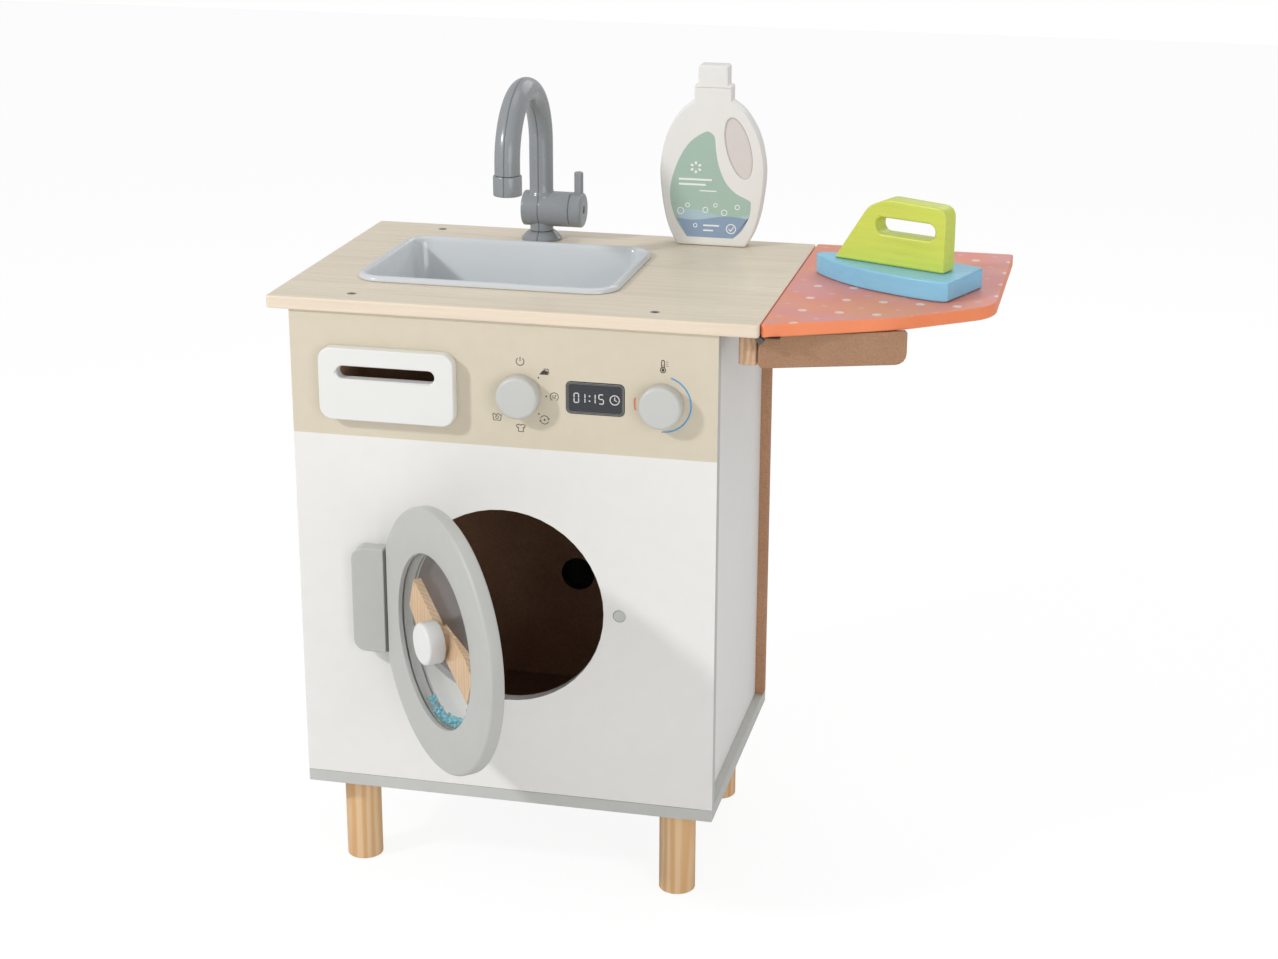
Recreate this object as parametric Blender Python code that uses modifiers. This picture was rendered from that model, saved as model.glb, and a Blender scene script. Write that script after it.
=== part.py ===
"""Toy washing machine with a sink on its worktop and a fold-out ironing board.

Lengths are in metres. X runs to the right, Y to the back and Z up from the floor. The pieces are
laid out from the middle of the cabinet's front face at floor level. One parent empty then shifts
the whole toy, so that the middle of its footprint stands on the origin.
"""

import math

import bmesh
import bpy
from mathutils import Matrix, Vector

# Driving dimensions
CABINET_WIDTH = 0.400
CABINET_DEPTH = 0.2894
PANEL_HEIGHT = 0.4614
BOARD_THICKNESS = 0.012
LEG_LENGTH = 0.092
DOOR_RADIUS = 0.1223
DOOR_THICKNESS = 0.0142
DOOR_OPEN_ANGLE = math.radians(48.8)
DRUM_OPENING_RADIUS = 0.095
SEAM = 0.0003
RUNNING_GAP = 0.0003
OVERRUN = 0.002
EDGE_ROUND = 0.0015
WELD = SEAM / 30
FLAT_ANGLE = math.radians(0.5)

# Heights of the cabinet's layers
BASE_BOTTOM = LEG_LENGTH + SEAM
BASE_TOP = BASE_BOTTOM + BOARD_THICKNESS
PANEL_BOTTOM = BASE_TOP + SEAM
PANEL_TOP = PANEL_BOTTOM + PANEL_HEIGHT
WORKTOP_BOTTOM = PANEL_TOP + SEAM
WORKTOP_TOP = WORKTOP_BOTTOM + BOARD_THICKNESS
PANEL_REAR = BOARD_THICKNESS
BACK_FRONT = CABINET_DEPTH - BOARD_THICKNESS

# Worktop
WORKTOP_LEFT_OVERHANG = 0.0206
WORKTOP_RIGHT_OVERHANG = 0.0357
WORKTOP_FRONT_OVERHANG = 0.004
WORKTOP_REAR_OVERHANG = 0.032
WORKTOP_LEFT = -CABINET_WIDTH / 2 - WORKTOP_LEFT_OVERHANG
WORKTOP_RIGHT = CABINET_WIDTH / 2 + WORKTOP_RIGHT_OVERHANG
WORKTOP_FRONT = -WORKTOP_FRONT_OVERHANG
WORKTOP_REAR = CABINET_DEPTH + WORKTOP_REAR_OVERHANG

# Side panels, legs and cleats
SIDE_INSET = 0.009
LEG_RADIUS = 0.0175
LEG_SIDE_INSET = 0.0409
LEG_END_INSET = 0.0392
TENON_RADIUS = 0.006
TENON_LENGTH = 0.008
LEG_CHAMFER = 0.001
CLEAT_DEPTH = 0.0174
CLEAT_HEIGHT = 0.018

# Worktop screws
SCREW_SIDE_INSET = 0.0746
SCREW_RIGHT_INSET = 0.0977
SCREW_HEAD_RADIUS = 0.0043
SCREW_SHANK_RADIUS = 0.002
SCREW_HEAD_DEPTH = 0.0024
SCREW_LENGTH = 0.026
SCREW_SINK = 0.0002

# Sink
SINK_LEFT_INSET = 0.0571
SINK_FRONT_INSET = 0.0705
SINK_WIDTH = 0.2525
SINK_REAR_MARGIN = 0.0414
SINK_LENGTH = CABINET_DEPTH - SINK_REAR_MARGIN - SINK_FRONT_INSET + WORKTOP_FRONT_OVERHANG
SINK_CORNER = 0.027
SINK_RIM_WIDTH = 0.009
SINK_RIM_HEIGHT = 0.005
SINK_DEPTH = 0.064
SINK_WALL = 0.002
SINK_DRAFT = 0.007
SINK_FLOOR_ROUND = 0.010
SINK_PLAY = 0.0006

# Drum door, all depths measured back from its front face
DOOR_STAND_OFF = 0.016
DRUM_X = 0.0006
DRUM_Z = 0.2928
DOOR_CHORD = 0.1088
DOOR_EDGE_ROUND = 0.003
WINDOW_RADIUS = 0.0805
WINDOW_LIP = 0.0042
WINDOW_SEAT_RADIUS = 0.086
FRONT_PANE_THICKNESS = 0.0025
REAR_PANE_THICKNESS = 0.002
PANE_SPACING = 0.0093
BACK_RING_RADIUS = 0.091
BACK_RING_LIP = 0.0019
BEAD_HEAP_TOP = 0.070
CATCH_RADIUS = 0.00575
CATCH_REACH = 0.1098
CATCH_PROUD = 0.0003
MAGNET_LENGTH = 0.0053
CATCH_PLATE_RADIUS = 0.005
CATCH_PLATE_THICKNESS = 0.0008

# Door hinge and its block
HINGE_GAP = 0.003
HINGE_SETBACK = 0.0006
HINGE_LENGTH = 0.100
HINGE_KNUCKLE_RADIUS = 0.0012
HINGE_PIN_RADIUS = 0.0006
HINGE_LEAF_THICKNESS = 0.0005
HINGE_LEAF_WIDTH = 0.012
HINGE_BLOCK_WIDTH = 0.0322
HINGE_BLOCK_HEIGHT = 0.1035
HINGE_BLOCK_CORNER = 0.012

# Knobs
KNOB_RADIUS = 0.0195
KNOB_LENGTH = 0.0157
KNOB_ROUND = 0.003
KNOB_BACK_ROUND = 0.001
SPINDLE_RADIUS = 0.003
SPINDLE_ENGAGEMENT = 0.010
SPINDLE_HEAD_RADIUS = 0.006
SPINDLE_HEAD_LENGTH = 0.0025
DOOR_KNOB_PROUD = 0.0124
DIAL_DROP = 0.0665
PROGRAM_DIAL_X = 0.0187
TEMPERATURE_DIAL_INSET = 0.050

# Paddle behind the window
PADDLE_RADIUS = 0.0697
PADDLE_THICKNESS = 0.0075
PADDLE_HUB_RADIUS = 0.013
PADDLE_EDGE_ANGLE = math.radians(-34.7)
PADDLE_TIP_ANGLE = math.radians(-9)
PADDLE_ROOT_SHARES = ((0.15, -0.19), (-0.029, 0.2))
PADDLE_SHOULDER_SHARES = (0.775, 0.043)
PADDLE_RIDGE_SHARES = ((0.17, -0.2), (0.79, 0.043))
PADDLE_VALLEY_SHARE = 1 / 8

# Display
DISPLAY_WIDTH = 0.054
DISPLAY_HEIGHT = 0.030
DISPLAY_CORNER = 0.005
DISPLAY_THICKNESS = 0.0015
DISPLAY_X = 0.0881
DISPLAY_DROP = 0.0658
DISPLAY_SINK = -0.0002

# Detergent drawer
DRAWER_INSET = 0.0305
DRAWER_WIDTH = 0.1285
DRAWER_HEIGHT = 0.068
DRAWER_DROP = 0.065
DRAWER_FRONT_THICKNESS = 0.0117
DRAWER_CORNER = 0.012
SLOT_WIDTH = 0.0929
SLOT_HEIGHT = 0.012
SLOT_RISE = 0.0115
TRAY_WIDTH = 0.100
TRAY_HEIGHT = 0.046
TRAY_DEPTH = 0.070
TRAY_WALL = 0.003
TRAY_FRONT_HEIGHT = 0.026
TRAY_DROP = 0.002
TRAY_PLAY = 0.002
RUNNER_WIDTH = 0.012
RUNNER_HEIGHT = 0.016
RUNNER_LEDGE = 0.0055
RUNNER_OVERLENGTH = 0.004

# Blanking cap in the back panel
CAP_HOLE_RADIUS = 0.0178
CAP_BODY_LENGTH = 0.011
CAP_FLANGE_RADIUS = 0.020
CAP_FLANGE_THICKNESS = 0.0015
CAP_WALL = 0.0015
CAP_Z = 0.2214

# Ironing board, its batten and its support bracket
BOARD_GAP = 0.0011
BOARD_WIDTH = 0.1939
BOARD_LENGTH = 0.3245
BOARD_FRONT = -0.0015
BOARD_SLANT_SHARES = ((0.60, 0.17), (1.0, 0.357))
BOARD_SLANT_RADIUS = 0.150
BOARD_TIP_RADIUS = 0.045
BOARD_CORNER = 0.003
BATTEN_WIDTH = 0.0165
BATTEN_HEIGHT = 0.0304
BATTEN_INSET = 0.0047
BATTEN_FRONT = 0.017
BATTEN_LENGTH = 0.165
BRACKET_LENGTH = 0.1325
BRACKET_THICKNESS = 0.008
BRACKET_HEIGHT = 0.0301
BRACKET_OUTER_CORNER = 0.010
BRACKET_INNER_CORNER = 0.004
BRACKET_OPEN_ANGLE = math.radians(71)
BRACKET_HINGE_SETBACK = 0.0015
BRACKET_HINGE_LENGTH = 0.024
BOARD_HINGE_KNUCKLE_RADIUS = 0.003
BOARD_HINGE_PIN_RADIUS = 0.0014
BOARD_HINGE_LEAF_THICKNESS = 0.0008
BOARD_HINGE_LEAF_WIDTH = 0.017
FRONT_BOARD_HINGE_LENGTH = 0.0072
REAR_BOARD_HINGE_LENGTH = 0.060
FRONT_BOARD_HINGE_Y = 0.001
REAR_BOARD_HINGE_Y = 0.215

# Tap
TAP_X = -0.0365
TAP_REAR_INSET = 0.0404
TAP_FLANGE_RADIUS = 0.020
TAP_FLANGE_EDGE = 0.0025
TAP_FLANGE_TOP_RADIUS = 0.0135
TAP_FLANGE_HEIGHT = 0.0084
TAP_NECK_RADIUS = 0.0115
TAP_PIN_RADIUS = 0.004
TAP_PIN_SEAT = 0.008
TAP_VALVE_RADIUS = 0.0175
TAP_VALVE_LEFT = 0.0175
TAP_VALVE_RIGHT = 0.031
TAP_VALVE_HEIGHT = 0.0309
TAP_TUBE_RADIUS = 0.0118
TAP_SPOUT_RADIUS = 0.0122
TAP_ARCH_RADIUS = 0.061
TAP_ARCH_HEIGHT = 0.0974
TAP_SPOUT_DROP = 0.0095
TAP_NOZZLE_RADIUS = 0.01375
TAP_NOZZLE_HEIGHT = 0.0192
TAP_NOZZLE_BORE = 0.010
TAP_NOZZLE_BORE_DEPTH = 0.014
TAP_HALF_SEAM = 0.0003
TAP_KNOB_LENGTH = 0.0125
TAP_LEVER_SHARE = 0.58
TAP_KNOB_ROUND = 0.003
TAP_SCREW_RECESS_RADIUS = 0.00425
TAP_SCREW_RECESS_DEPTH = 0.0045
TAP_SCREW_HEAD_LENGTH = 0.002
TAP_SCREW_RADIUS = 0.0018
TAP_SCREW_SEAT = 0.015
TAP_LEVER_RADIUS = 0.0045
TAP_LEVER_TOP = 0.0385
TAP_LEVER_ROOT = 0.0095

# Toy iron
IRON_LENGTH = 0.158
IRON_WIDTH = 0.078
IRON_BASE_THICKNESS = 0.0187
IRON_EDGE_ROUND = 0.003
IRON_REAR_X = 0.1631
IRON_REAR_Y = 0.1461
IRON_ANGLE = math.atan2(0.379, -0.925)
IRON_OUTLINE_SHARES = ((0.0, 0.86), (0.06, 0.97), (0.24, 1.0), (0.50, 0.90), (0.72, 0.68),
                       (0.88, 0.38), (0.965, 0.16))
IRON_HANDLE_THICKNESS = 0.021
IRON_HANDLE_LENGTH = 0.1155
IRON_HANDLE_HEIGHT = 0.062
IRON_HANDLE_REAR = 0.0175
IRON_GRIP_RADIUS = 0.010
IRON_NOSE_SHARES = ((0.0, 0.0), (0.155, 0.45), (0.30, 0.86))
IRON_BROW_SHARE = 0.47
IRON_SLOT_WIDTH = 0.062
IRON_SLOT_HEIGHT = 0.0155
IRON_SLOT_REAR = 0.0105
IRON_SLOT_RISE = 0.0288
IRON_PEG_RADIUS = 0.004
IRON_PEG_LENGTH = 0.008
IRON_PEG_SHARES = (0.2, 0.75)

# Detergent bottle
BOTTLE_WIDTH = 0.1037
BOTTLE_HEIGHT = 0.1785
BOTTLE_THICKNESS = 0.020
BOTTLE_X = 0.1355
BOTTLE_SETBACK = 0.0024
BOTTLE_FRONT = CABINET_DEPTH - BOTTLE_SETBACK
BOTTLE_ROUND = 0.002
BOTTLE_SIDE_SHARES = ((0.66, 0.0), (0.81, 0.081), (0.925, 0.196), (1.0, 0.364), (0.985, 0.487),
                      (0.862, 0.627), (0.62, 0.745), (0.365, 0.806))
BOTTLE_NECK_WIDTH = 0.037
BOTTLE_NECK_RISE = 0.144
BOTTLE_CAP_WIDTH = 0.0296
BOTTLE_CAP_RISE = 0.1588

# Facets of round shapes
LARGE_SIDES = 48
MEDIUM_SIDES = 24
SMALL_SIDES = 16
CORNER_STEPS = 4

# Surface colours as (red, green, blue), roughness and metallic share
FINISHES = {
    "worktop_laminate": ((0.70, 0.61, 0.50), 0.45, 0.0),
    "white_panel": ((0.80, 0.80, 0.77), 0.40, 0.0),
    "front_panel_paint": ((0.80, 0.80, 0.77), 0.40, 0.0),
    "base_grey": ((0.53, 0.54, 0.51), 0.45, 0.0),
    "raw_fibreboard": ((0.30, 0.17, 0.10), 0.85, 0.0),
    "pine": ((0.76, 0.52, 0.30), 0.55, 0.0),
    "door_grey": ((0.49, 0.50, 0.48), 0.45, 0.0),
    "drawer_white": ((0.84, 0.84, 0.82), 0.40, 0.0),
    "knob_grey": ((0.60, 0.61, 0.59), 0.45, 0.0),
    "knob_white": ((0.80, 0.80, 0.78), 0.40, 0.0),
    "clear_window": ((0.85, 0.90, 0.90), 0.05, 0.0),
    "hinge_steel": ((0.12, 0.12, 0.12), 0.35, 1.0),
    "screw_steel": ((0.55, 0.55, 0.55), 0.30, 1.0),
    "display_black": ((0.02, 0.02, 0.03), 0.25, 0.0),
    "cap_black": ((0.01, 0.01, 0.01), 0.40, 0.0),
    "sink_grey": ((0.50, 0.53, 0.56), 0.25, 0.0),
    "tap_grey": ((0.25, 0.28, 0.30), 0.25, 0.0),
    "board_orange": ((0.90, 0.30, 0.12), 0.50, 0.0),
    "iron_blue": ((0.20, 0.55, 0.80), 0.45, 0.0),
    "iron_green": ((0.55, 0.68, 0.05), 0.45, 0.0),
    "bottle_white": ((0.84, 0.84, 0.82), 0.45, 0.0),
    "turquoise_beads": ((0.10, 0.60, 0.68), 0.30, 0.0),
}


# Scene helpers
def clear_scene():
    for obj in list(bpy.data.objects):
        bpy.data.objects.remove(obj, do_unlink=True)


def new_collection(name):
    collection = bpy.data.collections.new(name)
    bpy.context.scene.collection.children.link(collection)
    return collection


def new_finish(name):
    colour, roughness, metallic = FINISHES[name]
    finish = bpy.data.materials.new(name)
    finish.use_nodes = True
    shader = finish.node_tree.nodes["Principled BSDF"]
    shader.inputs["Base Color"].default_value = (*colour, 1.0)
    shader.inputs["Roughness"].default_value = roughness
    shader.inputs["Metallic"].default_value = metallic
    return finish


def empty(name, parent, location, angle=0.0):
    """A joint's axis or the toy's origin, turned about Z."""
    obj = bpy.data.objects.new(name, None)
    PARTS.objects.link(obj)
    obj.parent = parent
    obj.matrix_local = Matrix.Translation(location) @ Matrix.Rotation(angle, 4, "Z")
    return obj


def place(name, mesh, finish, parent, matrix=None):
    obj = bpy.data.objects.new(name, mesh)
    PARTS.objects.link(obj)
    obj.parent = parent
    if matrix is not None:
        obj.matrix_local = matrix
    mesh.materials.clear()
    mesh.materials.append(new_finish(finish) if finish not in bpy.data.materials
                          else bpy.data.materials[finish])
    return obj


def as_cutter(obj):
    for collection in list(obj.users_collection):
        collection.objects.unlink(obj)
    CUTTERS.objects.link(obj)
    obj.hide_render = True
    obj.display_type = "WIRE"


def combine(obj, other, operation):
    """Cut or join another shape, which stays behind as a hidden guide."""
    boolean = obj.modifiers.new(operation.lower(), "BOOLEAN")
    boolean.operation = operation
    boolean.solver = "EXACT"
    boolean.object = other
    if other.name not in CUTTERS.objects:
        as_cutter(other)


def round_edges(obj, width, segments=2, limit=40):
    bevel = obj.modifiers.new("rounded_edges", "BEVEL")
    bevel.width = width
    bevel.segments = segments
    bevel.limit_method = "ANGLE"
    bevel.angle_limit = math.radians(limit)
    bevel.use_clamp_overlap = False


def baked(obj):
    """The object's finished shape as a mesh of its own, in its parent's space."""
    bpy.context.view_layer.update()
    mesh = bpy.data.meshes.new_from_object(obj.evaluated_get(bpy.context.evaluated_depsgraph_get()))
    mesh.transform(obj.matrix_local)
    return mesh


def smooth(mesh, limit=35):
    mesh.shade_smooth()
    mesh.set_sharp_from_angle(angle=math.radians(limit))


# Mesh makers
def box_mesh(low, high):
    mesh = bpy.data.meshes.new("box")
    bm = bmesh.new()
    bmesh.ops.create_cube(bm, size=1)
    size = Vector(high) - Vector(low)
    middle = (Vector(high) + Vector(low)) / 2
    bmesh.ops.transform(bm, matrix=Matrix.Translation(middle) @ Matrix.Diagonal((*size, 1)), verts=bm.verts)
    bm.to_mesh(mesh)
    bm.free()
    return mesh


def cylinder_mesh(radius, bottom, top, sides=SMALL_SIDES):
    """A cylinder along Z."""
    mesh = bpy.data.meshes.new("cylinder")
    bm = bmesh.new()
    bmesh.ops.create_cone(bm, cap_ends=True, segments=sides, radius1=radius, radius2=radius,
                          depth=top - bottom)
    bmesh.ops.translate(bm, vec=(0, 0, (top + bottom) / 2), verts=bm.verts)
    bm.to_mesh(mesh)
    bm.free()
    smooth(mesh)
    return mesh


def box(name, low, high, finish, parent, matrix=None):
    return place(name, box_mesh(low, high), finish, parent, matrix)


def cylinder(name, radius, bottom, top, finish, parent, matrix=None, sides=SMALL_SIDES):
    return place(name, cylinder_mesh(radius, bottom, top, sides), finish, parent, matrix)


def cutting_box(low, high, parent, matrix=None):
    cutter = box("cutting_box", low, high, "raw_fibreboard", parent, matrix)
    as_cutter(cutter)
    return cutter


def cutting_cylinder(radius, bottom, top, parent, matrix=None, sides=SMALL_SIDES):
    cutter = cylinder("cutting_cylinder", radius, bottom, top, "raw_fibreboard", parent, matrix, sides)
    as_cutter(cutter)
    return cutter


def turned(name, profile, finish, parent, matrix=None, sides=MEDIUM_SIDES, closed=False):
    """A shape turned about Z from (radius, height) points that run down its outer side."""
    mesh = bpy.data.meshes.new(name)
    count = len(profile)
    links = [(i, i + 1) for i in range(count - 1)]
    if closed:
        links.append((count - 1, 0))
    mesh.from_pydata([(radius, 0, height) for radius, height in profile], links, [])
    obj = place(name, mesh, finish, parent, matrix)
    screw = obj.modifiers.new("turn", "SCREW")
    screw.axis = "Z"
    screw.steps = sides
    screw.render_steps = sides
    screw.use_merge_vertices = True
    screw.merge_threshold = WELD
    screw.use_smooth_shade = True
    return obj


def outline_mesh(loops, thickness):
    """Closed outlines in XY, filled between outer edge and holes, from z = 0 up to the thickness."""
    curve = bpy.data.curves.new("outline", "CURVE")
    curve.dimensions = "2D"
    curve.fill_mode = "BOTH"
    curve.extrude = thickness / 2
    for loop in loops:
        spline = curve.splines.new("POLY")
        spline.points.add(len(loop) - 1)
        for point, (x, y) in zip(spline.points, loop):
            point.co = (x, y, 0, 1)
        spline.use_cyclic_u = True
    holder = bpy.data.objects.new("outline", curve)
    bpy.context.scene.collection.objects.link(holder)
    bpy.context.view_layer.update()
    mesh = bpy.data.meshes.new_from_object(holder.evaluated_get(bpy.context.evaluated_depsgraph_get()))
    bpy.data.objects.remove(holder, do_unlink=True)
    bm = bmesh.new()
    bm.from_mesh(mesh)
    bmesh.ops.remove_doubles(bm, verts=bm.verts, dist=WELD)
    bmesh.ops.dissolve_limit(bm, angle_limit=FLAT_ANGLE, verts=bm.verts, edges=bm.edges)
    bmesh.ops.recalc_face_normals(bm, faces=bm.faces)
    bmesh.ops.translate(bm, vec=(0, 0, thickness / 2), verts=bm.verts)
    bm.to_mesh(mesh)
    bm.free()
    smooth(mesh)
    return mesh


def upright(front, thickness):
    """Stands an outline up: its Y becomes height and its thickness runs back from the front."""
    return Matrix.Translation((0, front + thickness, 0)) @ Matrix.Rotation(math.radians(90), 4, "X")


def flat(bottom):
    return Matrix.Translation((0, 0, bottom))


def facing_front(x, y, z):
    """Turns a piece's Z towards the front, -Y."""
    return Matrix.Translation((x, y, z)) @ Matrix.Rotation(math.radians(90), 4, "X")


def plate(name, loops, thickness, matrix, finish, parent):
    mesh = outline_mesh(loops, thickness)
    mesh.transform(matrix)
    return place(name, mesh, finish, parent)


# Outline makers
def circle(x, y, radius, sides):
    return arc(x, y, radius, 0, 2 * math.pi, sides)[:-1]


def arc(x, y, radius, start, end, steps):
    angles = [start + (end - start) * i / steps for i in range(steps + 1)]
    return [(x + radius * math.cos(a), y + radius * math.sin(a)) for a in angles]


def rounded(corners, steps=CORNER_STEPS):
    """A closed outline through (x, y, radius) corners, with an arc of that radius at each."""
    points = []
    for i, (x, y, radius) in enumerate(corners):
        corner = Vector((x, y))
        before = (Vector(corners[i - 1][:2]) - corner).normalized()
        after = (Vector(corners[(i + 1) % len(corners)][:2]) - corner).normalized()
        half = before.angle(after) / 2
        if radius == 0:
            points.append((x, y))
            continue
        centre = corner + (before + after).normalized() * radius / math.sin(half)
        first = corner + before * radius / math.tan(half) - centre
        last = corner + after * radius / math.tan(half) - centre
        turn = first.angle_signed(last)
        for k in range(steps + 1):
            spoke = first.copy()
            spoke.rotate(Matrix.Rotation(-turn * k / steps, 2))
            points.append(tuple(centre + spoke))
    return points


def rounded_rectangle(x, y, width, height, radius, steps=CORNER_STEPS):
    """A rectangle around its centre, counter-clockwise."""
    half_width = width / 2
    half_height = height / 2
    return rounded([(x - half_width, y - half_height, radius), (x + half_width, y - half_height, radius),
                    (x + half_width, y + half_height, radius), (x - half_width, y + half_height, radius)],
                   steps)


def flowing(points, steps):
    """A smooth open line through the points, ends included."""
    line = []
    count = len(points)
    for i in range(count - 1):
        p0 = Vector(points[max(i - 1, 0)])
        p1 = Vector(points[i])
        p2 = Vector(points[i + 1])
        p3 = Vector(points[min(i + 2, count - 1)])
        for k in range(steps):
            t = k / steps
            line.append(tuple((2 * p1 + (p2 - p0) * t + (2 * p0 - 5 * p1 + 4 * p2 - p3) * t ** 2
                               + (3 * p1 - p0 - 3 * p2 + p3) * t ** 3) / 2))
    line.append(tuple(points[-1]))
    return line


def hinge_leaf(name, parent, matrix, knuckle, bore, leaf, width, spans, length, side):
    """One hinge leaf folded back along +Y from its axis on Z; side is -1 or +1 along X.

    Its knuckles fill the given spans, and a leaf with no bore carries the pin.
    """
    clear = knuckle + RUNNING_GAP
    inner = side * (knuckle - leaf)
    outer = side * knuckle
    low_x = min(inner, outer)
    high_x = max(inner, outer)
    obj = box(name, (low_x, clear, 0), (high_x, width, length), "hinge_steel", parent, matrix)
    for bottom, top in spans:
        tab = box("tab", (low_x, 0, bottom), (high_x, clear + leaf, top), "hinge_steel", parent, matrix)
        combine(obj, tab, "UNION")
        barrel = cylinder("barrel", knuckle, bottom, top, "hinge_steel", parent, matrix)
        combine(obj, barrel, "UNION")
    if bore:
        combine(obj, cutting_cylinder(bore, -OVERRUN, length + OVERRUN, parent, matrix), "DIFFERENCE")
    return obj


def hinge(prefix, fixed_parent, moving_parent, fixed_matrix, moving_matrix, knuckle, pin, leaf, width, length):
    """A butt hinge whose pin is riveted into its fixed leaf."""
    third = length / 3
    half_gap = RUNNING_GAP / 2
    fixed_spans = ((0, third - half_gap), (2 * third + half_gap, length))
    moving_spans = ((third + half_gap, 2 * third - half_gap),)
    fixed = hinge_leaf(prefix + "_fixed_leaf", fixed_parent, fixed_matrix, knuckle, 0, leaf, width,
                       fixed_spans, length, -1)
    rod = cylinder("pin", pin, third / 2, length - third / 2, "hinge_steel", fixed_parent, fixed_matrix)
    combine(fixed, rod, "UNION")
    hinge_leaf(prefix + "_moving_leaf", moving_parent, moving_matrix, knuckle, pin + RUNNING_GAP, leaf,
               width, moving_spans, length, 1)


def knob_profile(radius, length, front_round, back_round, steps=4):
    """A knob from its front centre down its side, standing on z = 0."""
    profile = [(0, length)]
    for k in range(steps + 1):
        a = math.radians(90) * (1 - k / steps)
        profile.append((radius - front_round + front_round * math.cos(a),
                        length - front_round + front_round * math.sin(a)))
    profile += [(radius, back_round), (radius - back_round, 0), (0, 0)]
    return profile


# Cabinet
def cabinet_panels(cabinet):
    half_width = CABINET_WIDTH / 2
    base = box("base_board", (-half_width, 0, BASE_BOTTOM), (half_width, CABINET_DEPTH, BASE_TOP),
               "base_grey", cabinet)
    round_edges(base, EDGE_ROUND / 2)
    for name, x, y in leg_places():
        combine(base, cutting_cylinder(TENON_RADIUS + SEAM, BASE_BOTTOM - OVERRUN,
                                       BASE_BOTTOM + TENON_LENGTH + SEAM, cabinet,
                                       Matrix.Translation((x, y, 0))), "DIFFERENCE")
        turned(name, leg_profile(), "pine", cabinet, Matrix.Translation((x, y, 0)))
    side_inset = half_width - SIDE_INSET
    for name, low_x in (("left_side_panel", -side_inset), ("right_side_panel", side_inset - BOARD_THICKNESS)):
        box(name, (low_x, PANEL_REAR + SEAM, PANEL_BOTTOM),
            (low_x + BOARD_THICKNESS, BACK_FRONT - SEAM, PANEL_TOP), "white_panel", cabinet)
    middle_z = PANEL_BOTTOM + PANEL_HEIGHT / 2
    panel = rounded_rectangle(0, middle_z, CABINET_WIDTH, PANEL_HEIGHT, 0)
    front = plate("front_panel", [panel, circle(DRUM_X, DRUM_Z, DRUM_OPENING_RADIUS, LARGE_SIDES),
                                  rounded_rectangle(drawer_x(), tray_z(), TRAY_WIDTH + 2 * TRAY_PLAY,
                                                    TRAY_HEIGHT + 2 * TRAY_PLAY, 0)],
                  BOARD_THICKNESS, upright(0, BOARD_THICKNESS), "front_panel_paint", cabinet)
    for x in (PROGRAM_DIAL_X, temperature_dial_x()):
        hole = cutting_cylinder(SPINDLE_RADIUS + RUNNING_GAP, -PANEL_REAR - OVERRUN, OVERRUN, cabinet,
                                facing_front(x, 0, dial_z()))
        combine(front, hole, "DIFFERENCE")
    pocket = cutting_cylinder(CATCH_RADIUS + SEAM, CATCH_PROUD - MAGNET_LENGTH - SEAM, OVERRUN, cabinet,
                              facing_front(catch_x(), 0, DRUM_Z), MEDIUM_SIDES)
    combine(front, pocket, "DIFFERENCE")
    recess = plate("display_recess", [display_outline(SEAM)], DISPLAY_THICKNESS + SEAM + OVERRUN,
                   upright(-OVERRUN, DISPLAY_THICKNESS + SEAM + OVERRUN), "display_black", cabinet)
    combine(front, recess, "DIFFERENCE")
    plate("display_plate", [display_outline(0)], DISPLAY_THICKNESS,
          upright(DISPLAY_SINK, DISPLAY_THICKNESS), "display_black", cabinet)
    cylinder("catch_magnet", CATCH_RADIUS, CATCH_PROUD - MAGNET_LENGTH, CATCH_PROUD, "screw_steel",
             cabinet, facing_front(catch_x(), 0, DRUM_Z), MEDIUM_SIDES)
    plate("back_panel", [panel, circle(0, CAP_Z, CAP_HOLE_RADIUS, MEDIUM_SIDES)], BOARD_THICKNESS,
          upright(BACK_FRONT, BOARD_THICKNESS), "raw_fibreboard", cabinet)
    cap_radius = CAP_HOLE_RADIUS - SEAM
    cup = cap_radius - CAP_WALL
    rear_face = -CAP_FLANGE_THICKNESS
    turned("back_hole_cap", [(0, 0), (cup, 0), (cup, CAP_BODY_LENGTH), (cap_radius, CAP_BODY_LENGTH),
                             (cap_radius, 0), (CAP_FLANGE_RADIUS, 0), (CAP_FLANGE_RADIUS, rear_face),
                             (0, rear_face)], "cap_black", cabinet,
           facing_front(0, CABINET_DEPTH + SEAM, CAP_Z))
    cleat_bottom = PANEL_TOP - CLEAT_HEIGHT
    inside = side_inset - BOARD_THICKNESS - SEAM
    cleats = (("front_cleat", inside, PANEL_REAR + SEAM), ("rear_cleat", half_width, CABINET_DEPTH + SEAM))
    for name, reach, front_y in cleats:
        cleat = box(name, (-reach, front_y, cleat_bottom), (reach, front_y + CLEAT_DEPTH, PANEL_TOP),
                    "pine", cabinet)
        round_edges(cleat, EDGE_ROUND / 2, 1)
        for _, x, y in screw_places():
            if front_y < y < front_y + CLEAT_DEPTH:
                combine(cleat, cutting_cylinder(SCREW_SHANK_RADIUS + SEAM,
                                                WORKTOP_TOP - SCREW_LENGTH - 2 * SEAM,
                                                PANEL_TOP + OVERRUN, cabinet,
                                                Matrix.Translation((x, y, 0)), SMALL_SIDES), "DIFFERENCE")


def leg_places():
    side = CABINET_WIDTH / 2 - LEG_SIDE_INSET
    rear = CABINET_DEPTH - LEG_END_INSET
    return (("front_left_leg", -side, LEG_END_INSET), ("front_right_leg", side, LEG_END_INSET),
            ("rear_left_leg", -side, rear), ("rear_right_leg", side, rear))


def leg_profile():
    return [(0, LEG_LENGTH + TENON_LENGTH), (TENON_RADIUS, LEG_LENGTH + TENON_LENGTH),
            (TENON_RADIUS, LEG_LENGTH), (LEG_RADIUS, LEG_LENGTH), (LEG_RADIUS, LEG_CHAMFER),
            (LEG_RADIUS - LEG_CHAMFER, 0), (0, 0)]


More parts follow.
